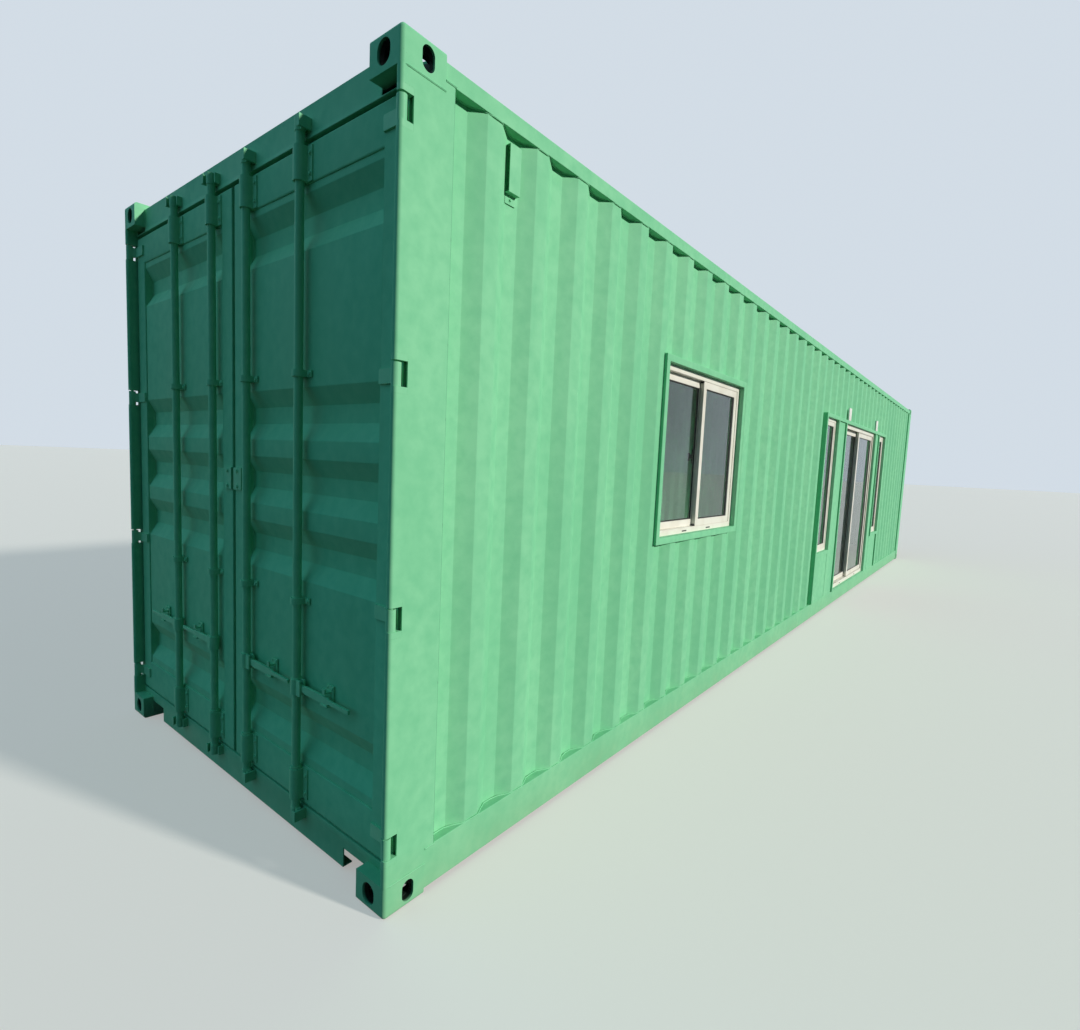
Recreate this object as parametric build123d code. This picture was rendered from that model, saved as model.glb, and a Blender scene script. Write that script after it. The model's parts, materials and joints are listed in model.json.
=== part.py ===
from build123d import *
import math
import os

os.makedirs("parts", exist_ok=True)

# Shipping container cabin, a 40 ft high-cube container with a window and a glazed bay.
# Millimetres. X runs along the length with the cargo doors at low X, the glazed wall is
# at low Y, Z is up, and the origin is at the centre of the base.

# Overall envelope
length = 12192.0
width = 2438.0
height = 2896.0

# Corner castings
casting_x = 178.0
casting_y = 162.0
casting_z = 118.0
casting_wall = 26.0
aperture_inset_x = 103.5
aperture_inset_y = 89.5
aperture_long = 124.0
aperture_wide = 63.5
side_hole_high = 79.0
side_hole_wide = 51.0
end_hole_high = 80.0
end_hole_wide = 66.0
casting_round = 14.0

# Rails
top_rail = 60.0
top_rail_wall = 3.0
rail_drop = 25.0
rail_inset = 5.0
bottom_rail_foot = 17.0
bottom_rail_high = 158.0
bottom_rail_sheet = 4.5
bottom_rail_upper = 48.0
bottom_rail_lower = 30.0

# Posts
post_sheet = 6.0
post_bend = 6.0
post_along = 225.0
post_return = 59.0
door_reveal = 29.0
door_stop_depth = 104.0
door_stop_wide = 90.0
door_stop_return = 62.0
blind_post_face = 129.0
blind_post_return = 56.0

# Folded sheets: floor of a trough, slope, outer flat and depth
side_fold = {"floor": 70.0, "slope": 68.0, "flat": 72.0, "depth": 36.0}
blind_fold = {"floor": 104.0, "slope": 18.0, "flat": 110.0, "depth": 45.6}
roof_fold = {"floor": 91.0, "slope": 13.5, "flat": 91.0, "depth": 20.0}
sheet = 2.0
wall_inset = 8.0
first_trough_from_post = 57.0

# Floor
floor_board = 28.0
cross_member_high = 122.0
cross_member_lower = 45.0
cross_member_upper = 40.0
cross_member_sheet = 4.0
cross_member_pitch = 305.0
cross_member_start = 150.0
floor_side_gap = 1.0

# Gooseneck tunnel under the blind end
tunnel_long = 3315.0
tunnel_wide = 1029.0
tunnel_high = 120.0
tunnel_sheet = 4.0
bow_wide = 50.0
bow_foot = 20.0
bow_sheet = 3.0
bow_end_gap = 3.0

# Door header and sill
door_face_inset = 48.0
header_inset = 50.0
header_high = 121.0
header_sheet = 4.0
header_floor = 60.0
header_lip_high = 22.0
header_lip_out = 3.0
header_deep = 120.0
header_back = 60.0
header_notch_wide = 118.0
header_notch_high = 22.0
sill_sheet = 5.0
sill_top = 150.0
sill_foot = 17.0
sill_front_flange = 40.0
sill_ledge = 60.0
sill_back_drop = 75.0
sill_notch_wide = 157.0
sill_notch_high = 78.0
sill_back_from_post = 55.0

# Cargo door leaves
leaf_thick = 50.0
leaf_side_gap = 14.0
leaf_seam = 24.0
leaf_bottom = 162.0
leaf_head_gap = 17.0
leaf_stile = 100.0
leaf_top_rail = 138.0
leaf_bottom_rail = 160.0
leaf_panel_inset = 4.0
recess_from_head = 272.0
recess_from_foot = 301.0
recess_above_middle = 17.5
gasket_thick = 5.0
gasket_deep = 30.0
gasket_inset = 12.0

# Hinges
hinge_count = 4
hinge_from_foot = 95.0
hinge_from_head = 73.0
pin_inset = 17.5
pin_radius = 7.0
pin_play = 1.2
knuckle_radius = 16.5
knuckle_high = 76.0
hinge_slot_high = 82.0
hinge_slot_deep = 50.0
hinge_seat = 0.3
lug_high = 22.0
strap_high = 50.0
strap_thick = 8.0
strap_reach = 122.0
strap_root_in = 12.0
strap_root_out = 6.0
strap_bend = 6.0
strap_shave = 4.0

# Locking bars
bar_places = [594.0, 167.0]
bar_inset = 26.0
bar_radius = 17.0
bar_foot = 99.0
bar_head_drop = 76.0
bar_play = 1.5
guide_from_head = 838.0
guide_from_foot = 846.0
guide_high = 26.0
guide_wall = 6.0
guide_foot = 110.0
guide_plate = 5.0
end_guide_high = 127.0
end_guide_from_head = 11.0
end_guide_from_foot = 24.0
collar_radius = 21.0
collar_high = 10.0
collar_seat = 0.3

# Cams and keepers
cam_high = 48.0
cam_nose = 28.8
cam_nose_thick = 20.0
cam_hub_radius = 19.0
keeper_jaw = 8.0
keeper_mouth = 31.0
keeper_lip_edge = 20.0
keeper_lip_front = 26.0
keeper_lip_thick = 4.0
keeper_high = 44.0
keeper_base = 4.0

# Handles
handle_height = 658.0
handle_long = 365.0
handle_high = 32.0
handle_root_high = 26.0
handle_grip_high = 16.0
handle_root_long = 24.0
handle_shoulder = 222.0
handle_taper = 14.0
handle_thick = 10.0
handle_play = 1.0
hub_high = 64.0
hub_radius = 23.0
hub_ear_out = 46.0
hub_ear_thick = 7.0
handle_pin_out = 34.0
handle_pin_radius = 6.0
hub_slot_wall = 2.0
catch_place = 208.0
catch_wide = 46.0
catch_high = 76.0
catch_shelf = 6.0
catch_plate = 5.0
catch_play = 0.5
catch_cover = 3.0
hook_gap = 9.0
hook_wide = 18.0
hook_thick = 7.0
hook_rise = 21.0

# Seam plates
seam_plate_high = 100.0
seam_plate_wide = 72.0
seam_plate_thick = 8.0
seam_plate_height = 1461.0

# Window
window_from_post = 1605.0
window_wide = 1260.0
window_foot = 1150.0
window_high = 1080.0
surround_face = 40.0
surround_deep = 64.0
surround_proud = 10.0
frame_setback = 35.0
frame_border = 34.0
frame_deep = 60.0
frame_lip = 4.0
sash_stile = 44.0
sash_deep = 24.0
sash_gap = 4.0
sash_play = 0.3
sash_overlap = 44.0
glass_thick = 4.0

# Glazed bay with a tall window on each side of a sliding door
bay_from_window = 2486.0
bay_wide = 3865.0
bay_head = 2250.0
tall_window_wide = 600.0
tall_window_foot = 690.0
door_from_bay = 960.0
door_wide = 2040.0
threshold = 15.0
infill_sheet = 3.0
slider_border = 40.0
slider_lip = 8.0
slider_lip_thick = 4.0
slider_deep = 80.0
slider_lift = 5.0
slider_stile = 60.0
slider_thick = 25.0
slider_track_gap = 10.0
slider_overlap = 60.0
slider_play = 5.0
roller_radius = 15.0
roller_wide = 10.0
roller_gap = 0.3
roller_from_edge = 120.0
pull_long = 160.0
pull_wide = 14.0
pull_thick = 3.0
pull_height = 1150.0

# Wall boxes over the glazed door
box_wide = 130.0
box_high = 148.0
box_places = [150.0, 2015.0]

# Vent covers
vent_from_post = 291.0
vent_wide = 62.0
vent_from_rail = 39.0
vent_high = 206.0
vent_deep = 26.0
vent_sheet = 3.0
vent_flange = 34.0

# Worked out from the sizes above
end_x = length / 2
side_y = width / 2
rail_top = height - rail_drop
rail_under = rail_top - top_rail
rail_face = side_y - rail_inset
base_top = bottom_rail_foot + bottom_rail_high
post_edge = end_x - post_along
casting_edge_x = end_x - casting_x
casting_edge_y = side_y - casting_y
wall_face = side_y - wall_inset
door_face = end_x - door_face_inset
header_face = end_x - header_inset
stop_face = end_x - door_stop_depth
sill_back = post_edge + sill_back_from_post
header_foot = rail_top - header_high
leaf_top = header_foot - leaf_head_gap
leaf_middle = (leaf_bottom + leaf_top) / 2
bar_head = height - bar_head_drop
tunnel_start = end_x - tunnel_long
tunnel_side = tunnel_wide / 2 + tunnel_sheet
tunnel_top = tunnel_high + tunnel_sheet
pin_x = end_x - pin_inset
pin_y = side_y - pin_inset
bar_x = end_x - bar_inset
leaf_outer = side_y - door_reveal - leaf_side_gap
leaf_inner = leaf_seam / 2
surround_front = side_y + surround_proud
window_left = -post_edge + window_from_post
bay_left = window_left + window_wide + bay_from_window
bay_right = bay_left + bay_wide
door_left = bay_left + door_from_bay
vent_left = -post_edge + vent_from_post
vent_foot = rail_under - vent_from_rail - vent_high


def block(x0, x1, y0, y1, z0, z1):
    """Solid block between two corners."""
    centre = Pos((x0 + x1) / 2, (y0 + y1) / 2, (z0 + z1) / 2)
    return centre * Box(abs(x1 - x0), abs(y1 - y0), abs(z1 - z0))


def prism(points, plane, start, end):
    """Outline drawn on XY, XZ or YZ, carried from start to end along the third axis."""
    if plane == "XY":
        corners = [(a, b, start) for a, b in points]
        way = (0, 0, 1)
    elif plane == "XZ":
        corners = [(a, start, b) for a, b in points]
        way = (0, 1, 0)
    else:
        corners = [(start, a, b) for a, b in points]
        way = (1, 0, 0)
    face = make_face(Polyline(*corners, close=True))
    return extrude(face, amount=end - start, dir=way)


def bent_outline(points, thick):
    """Closed outline of a bent sheet that lies on the right of the line of points."""
    normals = []
    for (ax, ay), (bx, by) in zip(points, points[1:]):
        run = math.hypot(bx - ax, by - ay)
        normals.append(((by - ay) / run, (ax - bx) / run))
    back = []
    for place, (x, y) in enumerate(points):
        before = normals[max(place - 1, 0)]
        after = normals[min(place, len(normals) - 1)]
        share = 1 + before[0] * after[0] + before[1] * after[1]
        shift_x = thick * (before[0] + after[0]) / share
        shift_y = thick * (before[1] + after[1]) / share
        back.append((x + shift_x, y + shift_y))
    return points + back[::-1]


def round_bends(shape, points, thick, inside):
    """Round the upright bends of a sheet that was drawn with bent_outline."""
    outline = bent_outline(points, thick)
    tight = []
    wide = []
    for place in range(1, len(points) - 1):
        (ax, ay), (bx, by), (cx, cy) = points[place - 1:place + 2]
        turns_left = (bx - ax) * (cy - by) - (by - ay) * (cx - bx) > 0
        on_line = points[place]
        on_back = outline[-1 - place]
        tight.append(on_line if turns_left else on_back)
        wide.append(on_back if turns_left else on_line)
    for corners, radius in ((tight, inside), (wide, inside + thick)):
        bends = [edge for edge in shape.edges().filter_by(Axis.Z)
                 if any(math.dist((edge.center().X, edge.center().Y), corner) < 0.01
                        for corner in corners)]
        shape = fillet(bends, radius)
    return shape


def depth_at(line, place):
    """Depth of a trough line at one place along it."""
    for (a, da), (b, db) in zip(line, line[1:]):
        if a <= place <= b:
            return da + (db - da) * (place - a) / (b - a)
    return 0.0


def trough_line(centres, fold, start, end):
    """Face of a folded sheet from start to end, as places along it with their depth."""
    half_floor = fold["floor"] / 2
    half_mouth = half_floor + fold["slope"]
    line = []
    for centre in sorted(centres):
        line.append((centre - half_mouth, 0.0))
        line.append((centre - half_floor, fold["depth"]))
        line.append((centre + half_floor, fold["depth"]))
        line.append((centre + half_mouth, 0.0))
    inner = [point for point in line if start < point[0] < end]
    return [(start, depth_at(line, start))] + inner + [(end, depth_at(line, end))]


def sheet_outline(line, thick):
    """Closed outline of a folded sheet behind its face, with its two ends cut square."""
    normals = []
    for (a, da), (b, db) in zip(line, line[1:]):
        run = math.hypot(b - a, db - da)
        normals.append(((da - db) / run, (b - a) / run))
    back = [(line[0][0], line[0][1] + thick / normals[0][1])]
    for place in range(1, len(line) - 1):
        before = normals[place - 1]
        after = normals[place]
        share = 1 + before[0] * after[0] + before[1] * after[1]
        along = line[place][0] + thick * (before[0] + after[0]) / share
        depth = line[place][1] + thick * (before[1] + after[1]) / share
        back.append((along, depth))
    back.append((line[-1][0], line[-1][1] + thick / normals[-1][1]))
    return line + back[::-1]


def fold_pitch(fold):
    return fold["floor"] + fold["flat"] + 2 * fold["slope"]


def ring(x0, x1, z0, z1, y0, y1, border):
    """Rectangular frame that stands in the plane of a long wall."""
    hole = block(x0 + border, x1 - border, y0 - 1, y1 + 1, z0 + border, z1 - border)
    return block(x0, x1, y0, y1, z0, z1) - hole


def far_side(shape):
    return mirror(shape, about=Plane.XZ)


def both_sides(shape):
    return [shape, far_side(shape)]


def save(name, shapes):
    """Write one node, gathering its separate solids."""
    if not isinstance(shapes, list):
        shapes = [shapes]
    solids = []
    for shape in shapes:
        solids += list(shape.solids())
    export_step(solids[0] if len(solids) == 1 else Compound(children=solids), f"parts/{name}.step")


def casting_blocks():
    """Plain envelopes of the eight castings, to cut what runs up to them."""
    blocks = []
    for sx in (-1, 1):
        for sy in (-1, 1):
            for z0 in (0, height - casting_z):
                blocks.append(block(sx * casting_edge_x, sx * end_x,
                                    sy * casting_edge_y, sy * side_y, z0, z0 + casting_z))
    return blocks


def top_casting():
    """Hollow cast corner with its three holes, at the far top corner."""
    x0 = casting_edge_x
    y0 = casting_edge_y
    z0 = height - casting_z
    body = block(x0, end_x, y0, side_y, z0, height)
    corner = Vector(end_x, side_y, height)
    sharp = [edge for edge in body.edges() if (edge @ 0 - corner).length < 0.01
             or (edge @ 1 - corner).length < 0.01]
    body = fillet(sharp, casting_round)
    body -= block(x0 + casting_wall, end_x - casting_wall, y0 + casting_wall,
                  side_y - casting_wall, z0 + casting_wall, height - casting_wall)
    hole_x = end_x - aperture_inset_x
    hole_y = side_y - aperture_inset_y
    middle_z = height - casting_z / 2
    top_slot = Plane((hole_x, hole_y, height + 1)) * SlotOverall(aperture_long, aperture_wide)
    body -= extrude(top_slot, amount=-casting_wall - 2)
    side_plane = Plane((hole_x, side_y + 1, middle_z), x_dir=(0, 0, 1), z_dir=(0, 1, 0))
    side_slot = side_plane * SlotOverall(side_hole_high, side_hole_wide)
    body -= extrude(side_slot, amount=-casting_wall - 2)
    end_plane = Plane((end_x + 1, hole_y, middle_z), x_dir=(0, 0, 1), z_dir=(1, 0, 0))
    end_slot = end_plane * SlotOverall(end_hole_high, end_hole_wide)
    body -= extrude(end_slot, amount=-casting_wall - 2)
    return body


def corner_castings():
    one = top_casting()
    pair = [one, mirror(one, about=Plane.YZ)]
    four = pair + [far_side(shape) for shape in pair]
    middle = Plane((0, 0, height / 2), z_dir=(0, 0, 1))
    return four + [mirror(shape, about=middle) for shape in four]


def hinge_heights():
    """Middles of the hinges, evenly spread over the leaf."""
    low = leaf_bottom + hinge_from_foot
    step = (leaf_top - hinge_from_head - low) / (hinge_count - 1)
    return [low + step * place for place in range(hinge_count)]


def recess_heights():
    """Middles of the recesses pressed into a door panel."""
    middle = leaf_middle + recess_above_middle
    pitch = fold_pitch(side_fold)
    return [leaf_bottom + recess_from_foot, middle - pitch, middle, middle + pitch,
            leaf_top - recess_from_head]


def door_end_post():
    """Bent post at the near cargo-door corner, with a slot and lugs' seat at each hinge."""
    line = [
        (-post_edge, -side_y + post_return),
        (-post_edge, -side_y),
        (-end_x, -side_y),
        (-end_x, -side_y + door_reveal),
        (-stop_face, -side_y + door_reveal),
        (-stop_face, -side_y + door_reveal + door_stop_wide),
        (-stop_face + door_stop_return, -side_y + door_reveal + door_stop_wide),
    ]
    post = prism(bent_outline(line, post_sheet), "XY", casting_z, rail_under)
    post = round_bends(post, line, post_sheet, post_bend)
    post -= block(-end_x - 1, -casting_edge_x, -side_y - 1, 0, height - casting_z, rail_under + 1)
    post -= block(-casting_edge_x, -post_edge + 1, -side_y - 1, 0, casting_z - 1, base_top)
    for middle in hinge_heights():
        half = hinge_slot_high / 2 + lug_high
        post -= block(-end_x - 1, -end_x + hinge_slot_deep, -side_y - 1,
                      -side_y + door_reveal + 1, middle - half, middle + half)
    return post


def hinge_pin_set(middle):
    """Two lugs and the pin between them, for one hinge at the near corner."""
    inner = hinge_slot_high / 2
    lugs = []
    for low in (middle - inner - lug_high, middle + inner):
        lug = block(-end_x, -end_x + hinge_slot_deep, -side_y, -side_y + door_reveal,
                    low, low + lug_high)
        front = lug.edges().filter_by(Axis.Z).group_by(Axis.X)[0]
        lugs.append(fillet(front, post_bend + post_sheet))
    pin = Pos(-pin_x, -pin_y, middle) * Cylinder(pin_radius, hinge_slot_high + 2)
    return lugs[0] + pin + lugs[1]


def blind_end_post():
    line = [
        (end_x - blind_post_return, -side_y + blind_post_face),
        (end_x, -side_y + blind_post_face),
        (end_x, -side_y),
        (post_edge, -side_y),
        (post_edge, -side_y + post_return),
    ]
    post = prism(bent_outline(line, post_sheet), "XY", casting_z, rail_under)
    post = round_bends(post, line, post_sheet, post_bend)
    post -= block(casting_edge_x, end_x + 1, -side_y - 1, 0, height - casting_z, rail_under + 1)
    post -= block(post_edge - 1, casting_edge_x, -side_y - 1, 0, casting_z - 1, base_top)
    return post


def square_tube(x0, x1, y0, y1, z0, z1, wall, way):
    """Open-ended rectangular tube along X or Y."""
    body = block(x0, x1, y0, y1, z0, z1)
    if way == "X":
        return body - block(x0 - 1, x1 + 1, y0 + wall, y1 - wall, z0 + wall, z1 - wall)
    return body - block(x0 + wall, x1 - wall, y0 - 1, y1 + 1, z0 + wall, z1 - wall)


def top_side_rail():
    return square_tube(-casting_edge_x, casting_edge_x, -rail_face, -rail_face + top_rail,
                       rail_under, rail_top, top_rail_wall, "X")


def bottom_side_rail():
    line = [
        (-rail_face + bottom_rail_lower, bottom_rail_foot),
        (-rail_face, bottom_rail_foot),
        (-rail_face, base_top),
        (-rail_face + bottom_rail_upper, base_top),
    ]
    outline = bent_outline(line, bottom_rail_sheet)
    return prism(outline, "YZ", -casting_edge_x, casting_edge_x)


def blind_end_rails():
    upper = square_tube(end_x - top_rail, end_x, -casting_edge_y, casting_edge_y,
                        rail_under, rail_top, top_rail_wall, "Y")
    lower = square_tube(end_x - top_rail, end_x, -casting_edge_y, casting_edge_y,
                        bottom_rail_foot, base_top, bottom_rail_sheet, "Y")
    lower -= block(end_x - top_rail - 1, end_x + 1, -tunnel_side, tunnel_side,
                   bottom_rail_foot - 1, tunnel_top)
    return [upper, lower]


def clear_of_corners(shape):
    """Cut a door-end member back to the castings, the posts and their stops."""
    for corner in casting_blocks():
        shape -= corner
    for side in (-1, 1):
        stop_out = side_y - door_reveal
        stop_in = stop_out - door_stop_wide
        shape -= block(-stop_face, -stop_face + door_stop_return, side * stop_in,
                       side * stop_out, casting_z, height - casting_z)
    for post in both_sides(door_end_post()):
        shape -= post
    return shape


def door_header():
    line = [
        (-header_face + header_floor, header_foot),
        (-header_face - header_lip_out, header_foot),
        (-header_face, header_foot + header_lip_high),
        (-header_face, rail_top),
        (-header_face + header_deep, rail_top),
        (-header_face + header_deep, rail_top - header_back),
    ]
    reach = side_y - door_reveal
    header = clear_of_corners(prism(bent_outline(line, header_sheet), "XZ", -reach, reach))
    notch_top = height - casting_z
    for side in (-1, 1):
        header -= block(-header_face - header_lip_out - 1, -header_face + header_sheet + 1,
                        side * casting_edge_y, side * (casting_edge_y + header_notch_wide),
                        notch_top - header_notch_high, notch_top + 1)
    return header


def door_sill():
    line = [
        (-header_face + sill_front_flange, sill_foot),
        (-header_face, sill_foot),
        (-header_face, sill_top),
        (-header_face + sill_ledge, sill_top),
        (-header_face + sill_ledge, base_top),
        (-sill_back, base_top),
        (-sill_back, base_top - sill_back_drop),
    ]
    reach = side_y - door_reveal
    sill = clear_of_corners(prism(bent_outline(line, sill_sheet), "XZ", -reach, reach))
    for side in (-1, 1):
        sill -= block(-header_face - 1, -header_face + sill_front_flange + 1,
                      side * (casting_edge_y - sill_notch_wide), side * (casting_edge_y + 1),
                      sill_foot - 1, sill_foot + sill_notch_high)
    return sill


def side_trough_centres():
    """Trough centres of a side wall, counted from the cargo-door post."""
    pitch = fold_pitch(side_fold)
    first = -post_edge + first_trough_from_post
    count = int((2 * post_edge) / pitch) + 2
    return [first + pitch * place for place in range(count)]


def side_wall_piece(x0, x1, z0, z1):
    line = trough_line(side_trough_centres(), side_fold, x0, x1)
    outline = [(along, -wall_face + depth) for along, depth in sheet_outline(line, sheet)]
    return prism(outline, "XY", z0, z1)


def behind_side_wall(x0, x1, z0, z1):
    """Space behind the outer face of the folded side wall."""
    line = trough_line(side_trough_centres(), side_fold, x0, x1)
    outline = [(along, -wall_face + depth) for along, depth in line]
    return prism(outline + [(x1, 0), (x0, 0)], "XY", z0, z1)


def blind_end_wall():
    half = side_y - blind_post_face
    pitch = fold_pitch(blind_fold)
    count = int(half / pitch) * 2 + 1
    centres = [pitch * (place - (count - 1) / 2) for place in range(count)]
    line = trough_line(centres, blind_fold, -half, half)
    outline = [(end_x - wall_inset - depth, along)
               for along, depth in sheet_outline(line, sheet)]
    wall = prism(outline, "XY", base_top, rail_under)
    for corner in casting_blocks():
        wall -= corner
    return wall


def roof_panel():
    start = -header_face + header_deep
    end = end_x - top_rail
    pitch = fold_pitch(roof_fold)
    count = int((end - start) / pitch)
    spare = (end - start) - count * pitch
    centres = [start + spare / 2 + pitch * (place + 0.5) for place in range(count)]
    line = trough_line(centres, roof_fold, start, end)
    outline = [(along, rail_top - depth) for along, depth in sheet_outline(line, sheet)]
    reach = rail_face - top_rail
    roof = prism(outline, "XZ", -reach, reach)
    for corner in casting_blocks():
        roof -= corner
    return roof


def cross_members():
    top = base_top - floor_board
    low = top - cross_member_high
    reach = rail_face - bottom_rail_sheet
    first = -casting_edge_x + cross_member_start
    last = casting_edge_x - cross_member_start
    count = int(round((last - first) / cross_member_pitch))
    step = (last - first) / count
    members = []
    for place in range(count + 1):
        web = first + place * step
        line = [
            (web + cross_member_lower, low),
            (web, low),
            (web, top),
            (web + cross_member_upper, top),
        ]
        outline = bent_outline(line, cross_member_sheet)
        if web < tunnel_start:
            members.append(prism(outline, "XZ", -reach, reach))
        else:
            members.append(prism(outline, "XZ", -reach, -tunnel_side))
            members.append(prism(outline, "XZ", tunnel_side, reach))
            members.append(tunnel_bow(web, top))
    return members


def tunnel_bow(start, top):
    """Hat-shaped bow on the tunnel that carries the floor in place of a cross member."""
    foot = tunnel_top + bow_sheet
    line = [
        (start - bow_foot, foot),
        (start, foot),
        (start, top),
        (start + bow_wide, top),
        (start + bow_wide, foot),
        (start + bow_wide + bow_foot, foot),
    ]
    reach = tunnel_side - bow_end_gap
    return prism(bent_outline(line, bow_sheet), "XZ", -reach, reach)


def gooseneck_tunnel():
    """Folded cover of the recess that a road chassis' gooseneck runs into."""
    line = [
        (tunnel_wide / 2, bottom_rail_foot),
        (tunnel_wide / 2, tunnel_high),
        (-tunnel_wide / 2, tunnel_high),
        (-tunnel_wide / 2, bottom_rail_foot),
    ]
    cover = prism(bent_outline(line, tunnel_sheet), "YZ", tunnel_start, end_x)
    return cover + block(tunnel_start, tunnel_start + tunnel_sheet, -tunnel_side, tunnel_side,
                         bottom_rail_foot, tunnel_top)


def floor_boards():
    reach = rail_face - bottom_rail_upper - floor_side_gap
    return block(-sill_back, end_x - top_rail, -reach, reach, base_top - floor_board, base_top)


def leaf_frame():
    """Frame of the near cargo-door leaf."""
    body = block(-door_face, -door_face + leaf_thick, -leaf_outer, -leaf_inner,
                 leaf_bottom, leaf_top)
    hole = block(-door_face - 1, -door_face + leaf_thick + 1,
                 -leaf_outer + leaf_stile, -leaf_inner - leaf_stile,
                 leaf_bottom + leaf_bottom_rail, leaf_top - leaf_top_rail)
    return body - hole


def leaf_panel():
    line = trough_line(recess_heights(), side_fold, leaf_bottom + leaf_bottom_rail,
                       leaf_top - leaf_top_rail)
    outline = [(-door_face + leaf_panel_inset + depth, along)
               for along, depth in sheet_outline(line, sheet)]
    return prism(outline, "XZ", -leaf_outer + leaf_stile, -leaf_inner - leaf_stile)


def leaf_gasket():
    front = -door_face + gasket_inset
    outer = block(front, front + gasket_deep, -leaf_outer - gasket_thick,
                  -leaf_inner + gasket_thick, leaf_bottom - gasket_thick,
                  leaf_top + gasket_thick)
    return outer - block(front - 1, front + gasket_deep + 1, -leaf_outer, -leaf_inner,
                         leaf_bottom, leaf_top)


def leaf_hinge(middle):
    """Knuckle round the pin with the strap that carries the leaf."""
    foot = middle - hinge_slot_high / 2 + hinge_seat
    centre = foot + knuckle_high / 2
    knuckle = Pos(-pin_x, -pin_y, centre) * Cylinder(knuckle_radius, knuckle_high)
    strap_line = [
        (-pin_x, -pin_y),
        (-pin_x + strap_root_in, -pin_y),
        (-door_face, -leaf_outer),
        (-door_face, -side_y + strap_reach + pin_inset),
        (-door_face - strap_thick, -side_y + strap_reach + pin_inset),
        (-door_face - strap_thick, -leaf_outer + strap_bend),
        (-pin_x - strap_root_out, -pin_y + knuckle_radius - strap_shave),
    ]
    strap = prism(strap_line, "XY", middle - strap_high / 2, middle + strap_high / 2)
    bore = Pos(-pin_x, -pin_y, centre) * Cylinder(pin_radius + pin_play, knuckle_high + 4)
    return knuckle + strap - bore


def bar_guide(place, middle, high, face):
    """Plate on the leaf with a bearing round the locking bar."""
    plate = block(face - guide_plate, face, -place - guide_foot / 2, -place + guide_foot / 2,
                  middle - high / 2, middle + high / 2)
    outer = bar_radius + bar_play + guide_wall
    shell = Pos(-bar_x, -place, middle) * Cylinder(outer, high)
    shell += block(-bar_x, face, -place - outer, -place + outer, middle - high / 2,
                   middle + high / 2)
    shell -= block(face, face + outer, -place - outer - 1, -place + outer + 1,
                   middle - high, middle + high)
    bore = Pos(-bar_x, -place, middle) * Cylinder(bar_radius + bar_play, high + 4)
    return plate + shell - bore


def handle_catch(place):
    """Back plate on the panel, a shelf that the handle lies on and a hook over it."""
    face = -door_face + leaf_panel_inset
    y0 = -place - catch_place - catch_wide / 2
    y1 = y0 + catch_wide
    low = handle_height - handle_high / 2 - catch_play - catch_shelf
    back = block(face - catch_plate, face, y0, y1, low, low + catch_high)
    front = -bar_x - handle_thick / 2 - catch_cover
    shelf = block(front, face, y0, y1, low, low + catch_shelf)
    under = handle_height + handle_high / 2 + hook_gap
    hook_line = [
        (face, under),
        (front, under),
        (front, under + hook_rise),
        (front + hook_thick, under + hook_rise),
        (front + hook_thick, under + hook_thick),
        (face, under + hook_thick),
    ]
    middle = (y0 + y1) / 2
    hook = prism(hook_line, "XZ", middle - hook_wide / 2, middle + hook_wide / 2)
    return back + shelf + hook


def seam_plate():
    return block(-door_face - seam_plate_thick, -door_face, -leaf_inner - seam_plate_wide,
                 -leaf_inner, seam_plate_height - seam_plate_high / 2,
                 seam_plate_height + seam_plate_high / 2)


def leaf_fittings():
    shapes = [seam_plate()]
    ends = (leaf_bottom + end_guide_from_foot + end_guide_high / 2,
            leaf_top - end_guide_from_head - end_guide_high / 2)
    for place in bar_places:
        for middle in (leaf_bottom + guide_from_foot, leaf_top - guide_from_head):
            shapes.append(bar_guide(place, middle, guide_high, -door_face + leaf_panel_inset))
        for middle in ends:
            shapes.append(bar_guide(place, middle, end_guide_high, -door_face))
        shapes.append(handle_catch(place))
    return shapes


def locking_bar(place):
    """Bar with a cam at each end and the ears that hold its handle."""
    axis = Pos(-bar_x, -place, 0)
    bar = axis * Pos(0, 0, (bar_foot + bar_head) / 2) * Cylinder(bar_radius, bar_head - bar_foot)
    for low in (bar_foot, bar_head - cam_high):
        middle = low + cam_high / 2
        hub = Pos(0, 0, middle) * Cylinder(cam_hub_radius, cam_high)
        half = cam_nose_thick / 2
        side = math.sqrt(cam_nose ** 2 - half ** 2)
        nose_line = Polyline((-half, 0), (-half, -side))
        nose_arc = ThreePointArc((-half, -side), (0, -cam_nose), (half, -side))
        nose_back = Polyline((half, -side), (half, 0), (-half, 0))
        nose = extrude(make_face(nose_line + nose_arc + nose_back), amount=cam_high)
        bar += axis * hub
        bar += axis * Pos(0, 0, low) * nose
    collar_foot = leaf_bottom + end_guide_from_foot + end_guide_high + collar_seat
    bar += axis * Pos(0, 0, collar_foot + collar_high / 2) * Cylinder(collar_radius, collar_high)
    bar += axis * Pos(0, 0, handle_height) * Cylinder(hub_radius, hub_high)
    for side in (-1, 1):
        x0 = -bar_x + side * (handle_thick / 2 + handle_play)
        x1 = x0 + side * hub_ear_thick
        bar += block(x0, x1, -place - hub_ear_out, -place, handle_height - hub_high / 2,
                     handle_height + hub_high / 2)
    gap = handle_thick / 2 + handle_play
    bar -= block(-bar_x - gap, -bar_x + gap, -place - hub_ear_out - 1,
                 -place - bar_radius - hub_slot_wall, handle_height - hub_high,
                 handle_height + hub_high)
    pin = Plane((-bar_x - gap - 1, -place - handle_pin_out, handle_height), z_dir=(1, 0, 0))
    bar += extrude(pin * Circle(handle_pin_radius), amount=2 * gap + 2)
    return bar


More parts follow.
